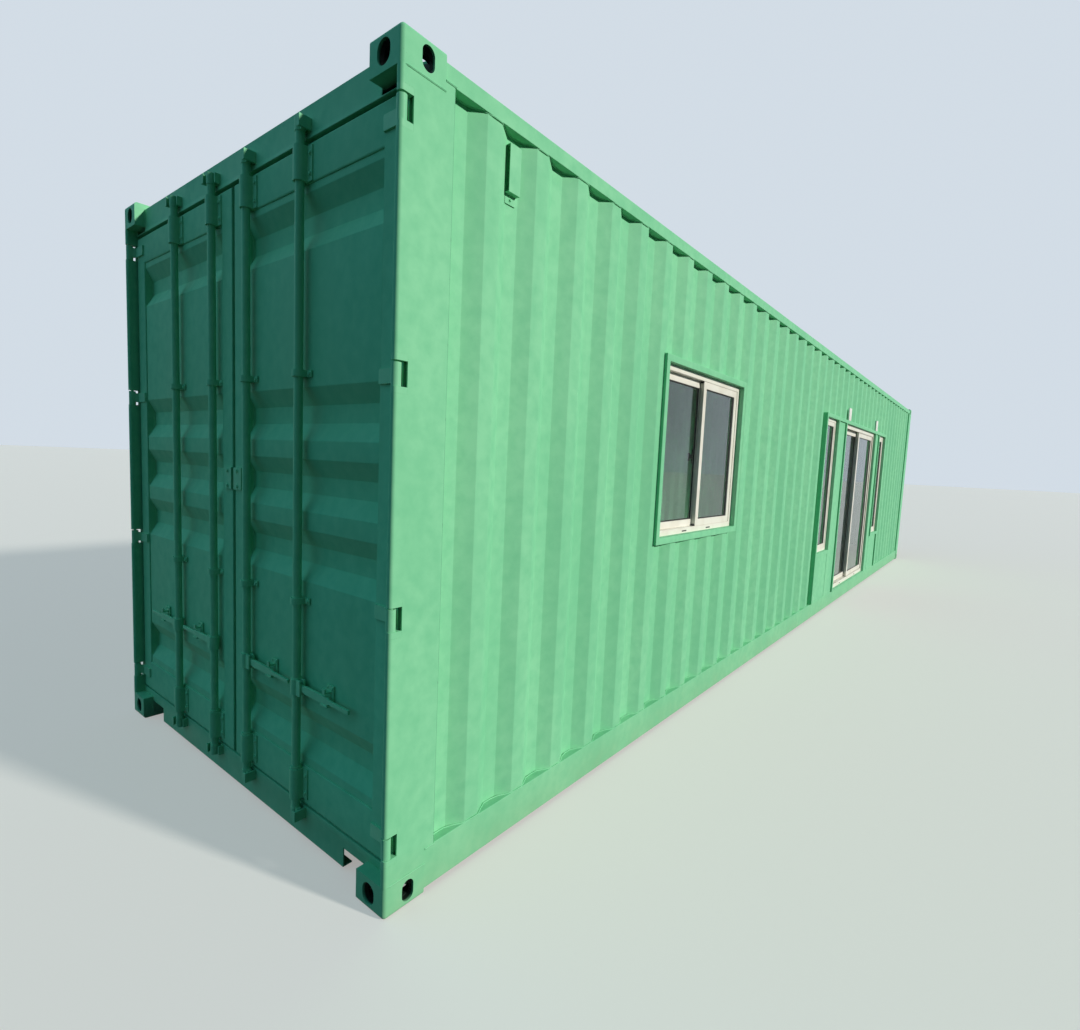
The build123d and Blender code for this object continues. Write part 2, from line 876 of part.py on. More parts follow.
def bar_handle(place):
    """Flat handle on the pin between the bar's ears: a deep arm and a slim grip."""
    front = -bar_x - handle_thick / 2
    arm_start = handle_pin_out + handle_root_long
    profile = [
        (handle_pin_out, handle_root_high / 2),
        (arm_start, handle_root_high / 2),
        (arm_start + handle_taper, handle_high / 2),
        (handle_shoulder, handle_high / 2),
        (handle_shoulder + handle_taper, handle_grip_high / 2),
        (handle_long, handle_grip_high / 2),
    ]
    upper = [(-place - out, handle_height + half) for out, half in profile]
    lower = [(-place - out, handle_height - half) for out, half in profile]
    body = prism(upper + lower[::-1], "YZ", front, front + handle_thick)
    root = Plane((front, -place - handle_pin_out, handle_height), z_dir=(1, 0, 0))
    body += extrude(root * Circle(handle_root_high / 2), amount=handle_thick)
    hole = Plane((front - 1, -place - handle_pin_out, handle_height), z_dir=(1, 0, 0))
    return body - extrude(hole * Circle(handle_pin_radius + handle_play), amount=handle_thick + 2)


def keeper(place, low, high):
    """Jaw on the header or sill that the cam turns in."""
    face = -header_face
    front = -bar_x - keeper_lip_front
    outer = keeper_mouth + keeper_jaw
    body = block(face - keeper_base, face, -place - outer, -place + outer, low, high)
    body += block(front, face, -place - outer, -place - keeper_mouth, low, high)
    body += block(-bar_x, face, -place + keeper_mouth, -place + outer, low, high)
    body += block(front, front + keeper_lip_thick, -place - outer, -place - keeper_lip_edge,
                  low, high)
    return body


def cam_keepers():
    shapes = []
    for place in bar_places:
        foot_middle = bar_foot + cam_high / 2
        head_middle = bar_head - cam_high / 2
        for middle in (foot_middle, head_middle):
            shapes.append(keeper(place, middle - keeper_high / 2, middle + keeper_high / 2))
    return shapes


def opening_frame(x0, x1, z0, z1):
    """Aluminium frame in one opening, set back from the surround's face."""
    front = -surround_front + frame_setback
    return ring(x0, x1, z0, z1, front, front + frame_deep, frame_border)


def window_sash(x0, x1, z0, z1, track):
    """Sash in the outer track 0 or the inner track 1, with its opening for the pane."""
    front = -surround_front + frame_setback + frame_lip + track * (sash_deep + sash_gap)
    return ring(x0, x1, z0, z1, front, front + sash_deep, sash_stile), front


def window_pane(x0, x1, z0, z1, front):
    middle = front + sash_deep / 2
    return block(x0 + sash_stile, x1 - sash_stile, middle - glass_thick / 2,
                 middle + glass_thick / 2, z0 + sash_stile, z1 - sash_stile)


def window_parts():
    """Outer frames, sashes and panes of the window and both tall windows."""
    frames = []
    sashes = []
    panes = []
    clear = surround_face
    openings = [
        (window_left + clear, window_left + window_wide - clear,
         window_foot + clear, window_foot + window_high - clear, 2),
        (bay_left + clear, bay_left + tall_window_wide - clear,
         tall_window_foot + clear, bay_head - clear, 1),
        (bay_right - tall_window_wide + clear, bay_right - clear,
         tall_window_foot + clear, bay_head - clear, 1),
    ]
    for x0, x1, z0, z1, count in openings:
        frames.append(opening_frame(x0, x1, z0, z1))
        inner = frame_border + sash_play
        low = z0 + inner
        high = z1 - inner
        middle = (x0 + x1) / 2
        if count == 2:
            spans = [(middle - sash_overlap / 2, x1 - inner, 0),
                     (x0 + inner, middle + sash_overlap / 2, 1)]
        else:
            spans = [(x0 + inner, x1 - inner, 0)]
        for left, right, track in spans:
            sash, front = window_sash(left, right, low, high, track)
            sashes.append(sash)
            panes.append(window_pane(left, right, low, high, front))
    return frames, sashes, panes


def window_surround():
    front = -surround_front
    return ring(window_left, window_left + window_wide, window_foot,
                window_foot + window_high, front, front + surround_deep, surround_face)


def bay_frame():
    """Welded frame of the glazed bay, with the tall windows' sills and the threshold."""
    front = -surround_front
    back = front + surround_deep
    face = surround_face
    frame = block(bay_left, bay_right, front, back, bay_head - face, bay_head)
    uprights = [
        (bay_left, base_top),
        (bay_left + tall_window_wide - face, tall_window_foot),
        (door_left, base_top),
        (door_left + door_wide - face, base_top),
        (bay_right - tall_window_wide, tall_window_foot),
        (bay_right - face, base_top),
    ]
    for left, foot in uprights:
        frame += block(left, left + face, front, back, foot, bay_head)
    for left in (bay_left, bay_right - tall_window_wide):
        frame += block(left, left + tall_window_wide, front, back,
                       tall_window_foot, tall_window_foot + face)
    frame += block(door_left, door_left + door_wide, front, back, base_top,
                   base_top + threshold)
    return frame


def bay_panels():
    """Flat steel plates beside the door and under the tall windows."""
    y0 = -wall_face
    y1 = -wall_face + infill_sheet
    face = surround_face
    top = bay_head - face
    left = block(bay_left + face, door_left, y0, y1, base_top, tall_window_foot)
    left += block(bay_left + tall_window_wide, door_left, y0, y1, base_top, top)
    right_start = door_left + door_wide
    right = block(right_start, bay_right - face, y0, y1, base_top, tall_window_foot)
    right += block(right_start, bay_right - tall_window_wide, y0, y1, base_top, top)
    return [left, right]


def slider_opening():
    """Inner edges of the glazed door's aluminium frame."""
    x0 = door_left + surround_face + slider_border
    x1 = door_left + door_wide - surround_face - slider_border
    z0 = base_top + threshold + slider_border
    z1 = bay_head - surround_face - slider_border
    return x0, x1, z0, z1


def slider_frame():
    x0, x1, z0, z1 = slider_opening()
    border = slider_border
    front = -surround_front + frame_setback - slider_lip_thick
    frame = ring(x0 - border, x1 + border, z0 - border, z1 + border,
                 front, front + slider_deep, border)
    lip = ring(x0 - border, x1 + border, z0 - border, z1 + border,
               front, front + slider_lip_thick, border + slider_lip)
    return frame + lip


def slider_leaf(track):
    """Frame and pane of one sliding leaf: track 0 outer at the right, 1 inner at the left."""
    x0, x1, z0, z1 = slider_opening()
    middle = (x0 + x1) / 2
    if track == 0:
        left = middle - slider_overlap / 2
        right = x1 - slider_play
    else:
        left = x0 + slider_play
        right = middle + slider_overlap / 2
    front = -surround_front + frame_setback + slider_lip + track * (slider_thick
                                                                     + slider_track_gap)
    low = z0 + slider_lift
    high = z1 - slider_play
    frame = ring(left, right, low, high, front, front + slider_thick, slider_stile)
    centre_y = front + slider_thick / 2
    for place in (left + roller_from_edge, right - roller_from_edge):
        wheel = Plane((place, centre_y - roller_wide / 2, z0 + roller_gap + roller_radius),
                      z_dir=(0, 1, 0))
        frame += extrude(wheel * Circle(roller_radius), amount=roller_wide)
    pane = block(left + slider_stile, right - slider_stile, centre_y - glass_thick / 2,
                 centre_y + glass_thick / 2, low + slider_stile, high - slider_stile)
    pull_x = left + slider_stile / 2 if track == 1 else right - slider_stile / 2
    frame += block(pull_x - pull_wide / 2, pull_x + pull_wide / 2, front - pull_thick, front,
                   pull_height - pull_long / 2, pull_height + pull_long / 2)
    return frame, pane


def wall_boxes():
    """White boxes that stand on the head of the glazed bay."""
    shapes = []
    for place in box_places:
        middle = door_left + place
        shapes.append(block(middle - box_wide / 2, middle + box_wide / 2, -surround_front,
                            -wall_face, bay_head, bay_head + box_high))
    return shapes


def vent_cover():
    """Bent cover on the side wall, open along its door-end edge, with a screwed foot."""
    back = -wall_face + side_fold["depth"]
    front = back - vent_deep
    line = [
        (vent_left, front),
        (vent_left + vent_wide, front),
        (vent_left + vent_wide, back),
    ]
    top = vent_foot + vent_high
    cover = prism(bent_outline(line, -vent_sheet), "XY", vent_foot + vent_flange, top)
    for z0 in (vent_foot + vent_flange, top - vent_sheet):
        cover += block(vent_left, vent_left + vent_wide, front, back, z0, z0 + vent_sheet)
    cover += block(vent_left, vent_left + vent_wide, back - vent_sheet, back,
                   vent_foot, vent_foot + vent_flange + vent_sheet)
    return cover - behind_side_wall(vent_left - 1, vent_left + vent_wide + 1, vent_foot - 1,
                                    top + 1)


def front_wall():
    """The window wall, split round its openings."""
    window_right = window_left + window_wide
    window_top = window_foot + window_high
    return {
        "front_wall_door_end": (-post_edge, window_left, base_top, rail_under),
        "front_wall_over_window": (window_left, window_right, window_top, rail_under),
        "front_wall_under_window": (window_left, window_right, base_top, window_foot),
        "front_wall_middle": (window_right, bay_left, base_top, rail_under),
        "front_wall_over_bay": (bay_left, bay_right, bay_head, rail_under),
        "front_wall_blind_end": (bay_right, post_edge, base_top, rail_under),
    }


def main():
    save("corner_castings", corner_castings())
    save("door_end_posts", both_sides(door_end_post()))
    save("blind_end_posts", both_sides(blind_end_post()))
    save("top_side_rails", both_sides(top_side_rail()))
    save("bottom_side_rails", both_sides(bottom_side_rail()))
    save("blind_end_rails", blind_end_rails())
    save("door_header", door_header())
    save("door_sill", door_sill())
    for name, span in front_wall().items():
        save(name, side_wall_piece(*span))
    save("rear_wall", far_side(side_wall_piece(-post_edge, post_edge, base_top, rail_under)))
    save("blind_end_wall", blind_end_wall())
    save("roof_panel", roof_panel())
    save("floor_boards", floor_boards())
    save("floor_cross_members", cross_members())
    save("gooseneck_tunnel", gooseneck_tunnel())
    save("window_surround", window_surround())
    save("door_bay_frame", bay_frame())
    save("door_bay_panels", bay_panels())
    frames, sashes, panes = window_parts()
    save("window_frames", frames)
    save("window_sashes", sashes)
    save("window_glass", panes)
    save("glazed_door_frame", slider_frame())
    for track, name in ((0, "right_glazed_leaf"), (1, "left_glazed_leaf")):
        frame, pane = slider_leaf(track)
        save(name, frame)
        save(name + "_glass", pane)
    save("wall_boxes", wall_boxes())
    save("vent_covers", both_sides(vent_cover()))
    keepers = cam_keepers()
    save("cam_keepers", keepers + [far_side(shape) for shape in keepers])
    pins = [hinge_pin_set(middle) for middle in hinge_heights()]
    save("hinge_pins", pins + [far_side(shape) for shape in pins])
    near = {
        "cargo_door_frame": [leaf_frame()],
        "cargo_door_panel": [leaf_panel()],
        "cargo_door_gasket": [leaf_gasket()],
        "cargo_door_hinges": [leaf_hinge(middle) for middle in hinge_heights()],
        "cargo_door_fittings": leaf_fittings(),
        "outer_locking_bar": [locking_bar(bar_places[0])],
        "inner_locking_bar": [locking_bar(bar_places[1])],
        "outer_handle": [bar_handle(bar_places[0])],
        "inner_handle": [bar_handle(bar_places[1])],
    }
    for name, shapes in near.items():
        save("right_" + name, shapes)
        save("left_" + name, [far_side(shape) for shape in shapes])


main()
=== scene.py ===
"""Looks for the shipping container cabin, laid out as an add-on and run as a script."""

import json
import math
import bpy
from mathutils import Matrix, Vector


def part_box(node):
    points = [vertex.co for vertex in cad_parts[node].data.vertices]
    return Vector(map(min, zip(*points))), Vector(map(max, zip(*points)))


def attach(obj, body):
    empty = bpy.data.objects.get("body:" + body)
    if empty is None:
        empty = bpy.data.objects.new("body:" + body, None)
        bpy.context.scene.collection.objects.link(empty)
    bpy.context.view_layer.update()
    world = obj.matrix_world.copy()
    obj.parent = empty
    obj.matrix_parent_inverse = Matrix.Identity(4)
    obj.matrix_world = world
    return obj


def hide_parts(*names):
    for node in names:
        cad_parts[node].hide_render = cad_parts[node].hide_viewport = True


bl_info = {
    "name": "Shipping container cabin",
    "version": (1, 0, 0),
    "blender": (4, 5, 0),
    "location": "3D View > Sidebar > Container",
    "description": "Dresses the packed container cabin and sets its stage",
    "category": "Object",
}

import bmesh
import bpy
from mathutils import Matrix, Vector

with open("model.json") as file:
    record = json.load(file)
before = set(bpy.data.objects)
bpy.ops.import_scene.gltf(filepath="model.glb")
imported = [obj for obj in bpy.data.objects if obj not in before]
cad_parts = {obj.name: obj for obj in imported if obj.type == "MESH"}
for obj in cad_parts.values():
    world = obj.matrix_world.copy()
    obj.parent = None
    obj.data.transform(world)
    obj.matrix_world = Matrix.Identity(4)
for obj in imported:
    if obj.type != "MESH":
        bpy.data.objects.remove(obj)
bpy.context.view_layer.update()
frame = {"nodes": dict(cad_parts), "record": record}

# sizes of the CAD model that the scene's own pieces follow, in metres
WALL_FACE = 1.211  # outer face of the long walls' sheets
WALL_END = 5.871  # ends of those sheets, at the posts
SHEET_FOOT, SHEET_HEAD = 0.175, 2.811  # where those sheets meet the rails
POST_FACE, RAIL_FACE = 1.2185, 1.2135  # lines of the beads on them
POST_BEND = (-5.8775, 1.2166)  # on the outer bend of a cargo-door post
CASTING_INNER = 5.918  # where a casting ends along X
CASTING_EDGES = (0.118, 2.778)  # where the lower castings end and the upper ones start
CASTING_CORNER = ((6.084, POST_FACE), (6.0885, 1.2160), (6.0920, 1.2110))
WINDOW = (-4.266, -3.006, 1.150, 2.230)  # outline of each surround: x0, x1, z0, z1
BAY = (-0.520, 3.345, 0.177, 2.250)
PLATES = ((0.080, 0.440), (2.480, 2.745))  # infill plates beside the glazed door
TALL_WINDOWS = ((-0.480, 0.080), (2.745, 3.305))
PLATE_HEAD, TALL_SILL = 2.210, 0.690
TROUGH_START = -5.814  # centre of the first trough beside the cargo-door post
# each fold: width of a trough's floor, of a slope and of the flat between, and the depth
SIDE = {"floor": 0.070, "slope": 0.068, "flat": 0.072, "depth": 0.036}
BLIND = {"floor": 0.104, "slope": 0.018, "flat": 0.110, "depth": 0.0456}
ROOF = {"floor": 0.091, "slope": 0.0135, "flat": 0.091, "depth": 0.020}
DOOR_RECESSES = (0.463, 1.187, 1.465, 1.743, 2.461)  # middles, up the door
SIDES = (("right", -1), ("left", 1))  # with the way of each cargo door along Y
BARS = (("outer", 0.594), ("inner", 0.167))  # with each bar's distance from the middle
BAR_X, PIN_X, PIN_Y = -6.070, -6.0785, 1.2015  # axes of the bars and of the hinge pins
DOOR_FACE = -6.0490  # outer face of the plates welded on the doors


# Properties


class SheetSettings(bpy.types.PropertyGroup):
    bend_radius: bpy.props.FloatProperty(
        name="Bend Radius", description="Radius rolled into each fold of a sheet",
        default=0.010, min=0.001, max=0.016, subtype="DISTANCE", unit="LENGTH")
    bend_steps: bpy.props.IntProperty(
        name="Bend Steps", description="Faces round each fold", default=3, min=1, max=8)
    thickness: bpy.props.FloatProperty(
        name="Thickness", description="Thickness of the folded steel",
        default=0.002, min=0.001, max=0.005, subtype="DISTANCE", unit="LENGTH")


def hex_colour(name, what, code):
    return bpy.props.StringProperty(name=name, description="sRGB hex colour " + what,
                                    default=code)


class PaintSettings(bpy.types.PropertyGroup):
    green: hex_colour("Paint", "of the sprayed paint", "#88D2A4")
    green_worn: hex_colour("Thin Paint", "where the coat is thin", "#79C799")
    dust: hex_colour("Dust", "of the soil dust near the ground", "#9A7A5C")
    frames: hex_colour("Frames", "of the coated aluminium", "#E9E7DC")


class CameraSettings(bpy.types.PropertyGroup):
    place: bpy.props.FloatVectorProperty(
        name="Place", description="Where the camera stands", size=3,
        default=(-7.2619, -2.7465, 1.6028), subtype="TRANSLATION", unit="LENGTH")
    turn: bpy.props.FloatVectorProperty(
        name="Turn", description="Azimuth from +Y towards +X, upward tilt, and roll", size=3,
        default=[math.radians(angle) for angle in (51.677, -5.308, 2.5815)],
        unit="ROTATION")
    focal: bpy.props.FloatProperty(
        name="Focal Length", description="Lens in millimetres on a 36 mm frame",
        default=19.417, min=5.0, max=200.0)


# Materials


def linear(code, shade=1.0):
    """Linear RGBA of an sRGB hex colour, darker where shade is below one."""
    out = []
    for place in (1, 3, 5):
        value = int(code[place:place + 2], 16) / 255
        value = value / 12.92 if value <= 0.04045 else ((value + 0.055) / 1.055) ** 2.4
        out.append(shade * value)
    return (*out, 1.0)


def node(tree, kind, inputs=None, **settings):
    """Adds a node. inputs maps a socket to a value or to another node's socket."""
    made = tree.nodes.new(kind)
    for key, value in settings.items():
        setattr(made, key, value)
    for key, value in (inputs or {}).items():
        if isinstance(value, bpy.types.NodeSocket):
            tree.links.new(value, made.inputs[key])
        else:
            made.inputs[key].default_value = value
    return made


def new_material(name, **shader):
    """A material with its Principled shader set, its tree, and the place on the object."""
    made = bpy.data.materials.new(name)
    made.use_nodes = True
    tree = made.node_tree
    for key, value in shader.items():
        tree.nodes["Principled BSDF"].inputs[key.replace("_", " ")].default_value = value
    return made, tree, node(tree, "ShaderNodeTexCoord").outputs["Object"]


def shaded(made, **results):
    """Links results to the Principled shader's sockets and returns the material."""
    tree = made.node_tree
    for key, value in results.items():
        tree.links.new(value, tree.nodes["Principled BSDF"].inputs[key.replace("_", " ")])
    return made


def reckon(tree, operation, *values):
    """One Math node over numbers and sockets. Returns its result."""
    return node(tree, "ShaderNodeMath", dict(enumerate(values)),
                operation=operation).outputs[0]


def spread(tree, value, low, high, to_low, to_high):
    """Maps a value from the span low to high onto the span to_low to to_high."""
    return node(tree, "ShaderNodeMapRange",
                {"Value": value, "From Min": low, "From Max": high, "To Min": to_low,
                 "To Max": to_high}).outputs[0]


def noise(tree, place, scale, detail=2.0, stretch=None, roughness=0.5):
    """Noise whose patches are about one metre over scale across."""
    if stretch:
        place = node(tree, "ShaderNodeMapping", {"Vector": place, "Scale": stretch}).outputs[0]
    return node(tree, "ShaderNodeTexNoise", {"Vector": place, "Scale": scale, "Detail": detail,
                                             "Roughness": roughness}).outputs[0]


def bump(tree, height, strength, distance, **below):
    """Normal of a height map, over the bump given as Normal where there is one."""
    return node(tree, "ShaderNodeBump", {"Height": height, "Strength": strength,
                                         "Distance": distance, **below}).outputs[0]


def toned(tree, value, *stops):
    """Colour from a ramp whose stops are a place, a hex code and, if wanted, a shade."""
    made = node(tree, "ShaderNodeValToRGB", {0: value})
    points = made.color_ramp.elements
    while len(points) < len(stops):
        points.new(0.5)
    for point, (place, *colour) in zip(points, stops):
        point.position = place
        point.color = linear(*colour)
    return made.outputs[0]


def blend(tree, share, low, high):
    """Mixes two colours, each a hex code or a node's socket, and returns the mix."""
    made = node(tree, "ShaderNodeMix", data_type="RGBA")
    tree.links.new(share, made.inputs[0])
    for place, colour in zip([s for s in made.inputs if s.type == "RGBA"], (low, high)):
        if isinstance(colour, str):
            place.default_value = linear(colour)
        else:
            tree.links.new(colour, place)
    return [s for s in made.outputs if s.type == "RGBA"][0]


def casting_pockets(tree, place):
    """Mask of painted shade: one inside each pocket and hole of the corner castings, none on
    their faces.
    """
    axes = node(tree, "ShaderNodeSeparateXYZ", {0: place}).outputs
    deepest = None
    # along each axis: the cabin's middle, from there to a casting's middle, and from there to
    # its faces; the painted shade is full 6 mm in
    for axis, cabin, casting, reach in (("X", 0.0, 6.007, 0.083), ("Y", 0.0, 1.138, 0.075),
                                        ("Z", 1.448, 1.389, 0.053)):
        value = axes[axis]
        for middle in (cabin, casting):
            value = reckon(tree, "SUBTRACT", value, middle)
            value = reckon(tree, "ABSOLUTE", value)
        value = reckon(tree, "SUBTRACT", value, reach)
        deepest = value if deepest is None else reckon(tree, "MAXIMUM", deepest, value)
    return spread(tree, deepest, -0.006, 0.002, 1.0, 0.0)


def painted_steel_sprayed(name, grain_mm=2.2, grain_height=0.00010, dent=0.0009, wear=0.0,
                          pocket_shade=False, gloss=0.1):
    """Alkyd sprayed over old coats: satin, slightly uneven, fine orange peel, soft dents."""
    paint = bpy.context.scene.container_paint
    made, tree, place = new_material(name, IOR=1.5, Metallic=0.0, Specular_IOR_Level=gloss)
    # upright passes of the spray gun about 0.3 m wide, and small blotches about 50 mm across
    passes = noise(tree, place, 3.0, 4.0, (1.0, 1.0, 0.25))
    thin = reckon(tree, "MULTIPLY", passes, noise(tree, place, 18.0, 4.0))
    colour = blend(tree, spread(tree, thin, 0.14, 0.38, 1.0, 0.0), paint.green,
                   paint.green_worn)
    # soil dust thrown up over the lowest 0.22 m
    height = node(tree, "ShaderNodeSeparateXYZ", {0: place}).outputs["Z"]
    dusty = reckon(tree, "MULTIPLY", spread(tree, height, 0.0, 0.22, 0.30, 0.0),
                   noise(tree, place, 9.0, 6.0))
    colour = blend(tree, dusty, colour, paint.dust)
    if wear:
        # brown where handling has chipped the coat, chips about 6 mm across
        chips = node(tree, "ShaderNodeTexVoronoi", {"Vector": place, "Scale": 160.0})
        chipped = reckon(tree, "SUBTRACT", noise(tree, place, 14.0, 4.0), chips.outputs[0])
        worn = 0.62 - wear * 0.2
        colour = blend(tree, spread(tree, chipped, worn, worn + 0.06, 0.0, 1.0), colour,
                       "#5A3A28")
    if pocket_shade:
        # painted shade: near-black inside each pocket and hole of the castings
        colour = blend(tree, casting_pockets(tree, place), colour, "#1E2A24")
    shine = gloss * 0.6
    rough = spread(tree, passes, 0.3, 0.7, 0.56 - shine, 0.70 - shine)
    # soft dents about 0.35 m across, then orange peel
    soft = bump(tree, noise(tree, place, 2.8), 0.35, dent)
    peel = noise(tree, place, 1000.0 / (grain_mm * 4))
    return shaded(made, Base_Color=colour, Roughness=rough,
                  Normal=bump(tree, peel, 0.5, grain_height, Normal=soft))


def powder_coated_aluminium():
    """Extruded aluminium, powder coated cream: even colour with a very fine grain."""
    paint = bpy.context.scene.container_paint
    made, tree, place = new_material("powder_coated_aluminium", Roughness=0.42, IOR=1.5)
    grime = noise(tree, place, 7.0, 6.0)
    # powder grain is about 0.3 mm, drawn at 1.5 mm so that it shows
    grain = noise(tree, place, 660.0)
    return shaded(made, Normal=bump(tree, grain, 0.2, 0.00008),
                  Base_Color=toned(tree, grime, (0.30, "#DEDACC"), (0.55, paint.frames)))


def float_glass():
    """Clear float glass with a faint green body and a film of dust."""
    made, tree, place = new_material("float_glass", IOR=1.52, Metallic=0.0,
                                     Transmission_Weight=1.0)
    film = noise(tree, place, 5.0, 5.0)
    return shaded(made, Roughness=spread(tree, film, 0.4, 0.8, 0.0, 0.06),
                  Base_Color=toned(tree, film, (0.3, "#E4EFEA"), (0.8, "#D5E2DC")))


def extruded_glazing_rubber():
    """Extruded rubber seal: matt, a little dusty."""
    made, tree, place = new_material("extruded_glazing_rubber", Roughness=0.75, IOR=1.5)
    dust = noise(tree, place, 30.0, 4.0)
    return shaded(made, Base_Color=toned(tree, dust, (0.4, "#1E1F1E"), (0.8, "#34352F")))


def overpainted_seal_and_seam_shade():
    """Rubber door seal sprayed over with the body's green, matt and a little darker; the posts'
    seam beads take it as painted shade.
    """
    made, tree, place = new_material("overpainted_seal_and_seam_shade", Roughness=0.7, IOR=1.5,
                                     Specular_IOR_Level=0.2)
    # bare patches about 30 mm across where the coat has cracked off the lips
    bare = spread(tree, noise(tree, place, 32.0, 5.0), 0.60, 0.72, 0.0, 1.0)
    return shaded(made, Base_Color=blend(tree, bare, "#6AAE88", "#2C3A34"))


def phenolic_plywood():
    """Film-faced plywood boards: brown film, faint grain, a dark seam every 1.2 m."""
    made, tree, place = new_material("phenolic_plywood", IOR=1.5)
    grain = noise(tree, place, 3.0, 8.0, (1.2, 26.0, 26.0), 0.65)
    tone = toned(tree, grain, (0.3, "#4A2E1C"), (0.5, "#6E4A2E"), (0.75, "#8A6240"))
    along = node(tree, "ShaderNodeSeparateXYZ", {0: place}).outputs["X"]
    seam = spread(tree, reckon(tree, "PINGPONG", along, 0.6), 0.0, 0.003, 0.25, 1.0)
    dark = node(tree, "ShaderNodeVectorMath", {0: tone, "Scale": seam}, operation="SCALE")
    return shaded(made, Base_Color=dark.outputs[0],
                  Roughness=spread(tree, grain, 0.0, 1.0, 0.42, 0.68))


def moulded_plastic(name, colour):
    """Injection-moulded plastic with a fine spark texture."""
    made, tree, place = new_material(name, Roughness=0.4, IOR=1.5)
    tone = noise(tree, place, 12.0, 4.0)
    return shaded(made, Base_Color=toned(tree, tone, (0.3, colour, 0.88), (0.6, colour)),
                  Normal=bump(tree, noise(tree, place, 900.0), 0.3, 0.0001))


def zinc_plated_steel():
    """Zinc-plated screws: grey metal with a dull bloom."""
    made, tree, place = new_material("zinc_plated_steel", Metallic=1.0)
    bloom = noise(tree, place, 90.0, 3.0)
    return shaded(made, Roughness=spread(tree, bloom, 0.0, 1.0, 0.3, 0.6),
                  Base_Color=toned(tree, bloom, (0.3, "#7D8084"), (0.7, "#A9ACAD")))


# each finish's maker, and the record's slot that goes with it
FINISHES = {
    "sheet_paint": (lambda: painted_steel_sprayed("painted_steel_sheet"), "green_paint"),
    "frame_paint": (lambda: painted_steel_sprayed("painted_steel_section", dent=0.0006),
                    "green_paint"),
    "gear_paint": (lambda: painted_steel_sprayed("painted_forged_steel", 3.0, 0.00020, 0.0006,
                                                 wear=0.3, gloss=0.16), "green_gear"),
    # cast paint, with painted shade inside each casting's pocket and hole
    "cast_paint": (lambda: painted_steel_sprayed("painted_cast_steel", 5.0, 0.0006, 0.0008,
                                                 wear=0.2, pocket_shade=True), "green_casting"),
    "aluminium": (powder_coated_aluminium, "white_aluminium"),
    "glass": (float_glass, "glass"),
    "seal_paint_and_seam_shade": (overpainted_seal_and_seam_shade, "rubber"),
    "glazing_rubber": (extruded_glazing_rubber, "rubber"),
    "plywood": (phenolic_plywood, "wood"),
    "white_plastic": (lambda: moulded_plastic("moulded_white_abs", "#ECECE6"), "plastic"),
    "black_plastic": (lambda: moulded_plastic("moulded_black_nylon", "#1B1C1D"), "plastic"),
    "zinc": (zinc_plated_steel, None),
}
MATERIALS = {}


def material(name):
    """Makes each finish once, when first asked for."""
    if name not in MATERIALS:
        MATERIALS[name] = FINISHES[name][0]()
    return MATERIALS[name]


# Geometry Nodes trees


def new_tree(name, **sockets):
    """A Geometry Nodes tree with inputs named by kind. Returns it and its inputs."""
    tree = bpy.data.node_groups.new(name, "GeometryNodeTree")
    for kind, labels in {"Geometry": ["Geometry"], **sockets, "Material": ["Material"]}.items():
        for label in labels:
            tree.interface.new_socket(label, in_out="INPUT", socket_type="NodeSocket" + kind)
    tree.interface.new_socket("Geometry", in_out="OUTPUT", socket_type="NodeSocketGeometry")
    return tree, node(tree, "NodeGroupInput").outputs


def join(tree, *meshes):
    """Joins the results of several nodes."""
    made = node(tree, "GeometryNodeJoinGeometry")
    for mesh in meshes:
        tree.links.new(mesh, made.inputs[0])
    return made.outputs[0]


def end_tree(tree, given, made):
    """Ends a tree in real geometry with its material."""
    real = node(tree, "GeometryNodeRealizeInstances", {"Geometry": made})
    dressed = node(tree, "GeometryNodeSetMaterial", {"Geometry": real.outputs[0],
                                                     "Material": given["Material"]})
    node(tree, "NodeGroupOutput", {0: dressed.outputs[0]})
    return tree


def folded_sheet():
    """Rounds the folds of a line, runs it out across the sheet and gives it its thickness."""
    tree, given = new_tree("folded_sheet", Float=["Bend Radius", "Thickness"],
                           Int=["Bend Steps"], Vector=["Across"])
    line = node(tree, "GeometryNodeMeshToCurve", {"Mesh": given["Geometry"]})
    rolled = node(tree, "GeometryNodeFilletCurve",
                  {"Curve": line.outputs[0], "Count": given["Bend Steps"],
                   "Radius": given["Bend Radius"], "Limit Radius": True}, mode="POLY")
    wire = node(tree, "GeometryNodeCurveToMesh", {"Curve": rolled.outputs[0]})
    skin = node(tree, "GeometryNodeExtrudeMesh",
                {"Mesh": wire.outputs[0], "Offset": given["Across"], "Offset Scale": 1.0},
                mode="EDGES")
    body = node(tree, "GeometryNodeExtrudeMesh",
                {"Mesh": skin.outputs["Mesh"], "Offset Scale": given["Thickness"],
                 "Individual": False}, mode="FACES")
    back = node(tree, "GeometryNodeFlipFaces", {"Mesh": skin.outputs["Mesh"]})
    closed = node(tree, "GeometryNodeMergeByDistance",
                  {"Geometry": join(tree, body.outputs["Mesh"], back.outputs[0]),
                   "Distance": 0.00002})
    return end_tree(tree, given, closed.outputs[0])


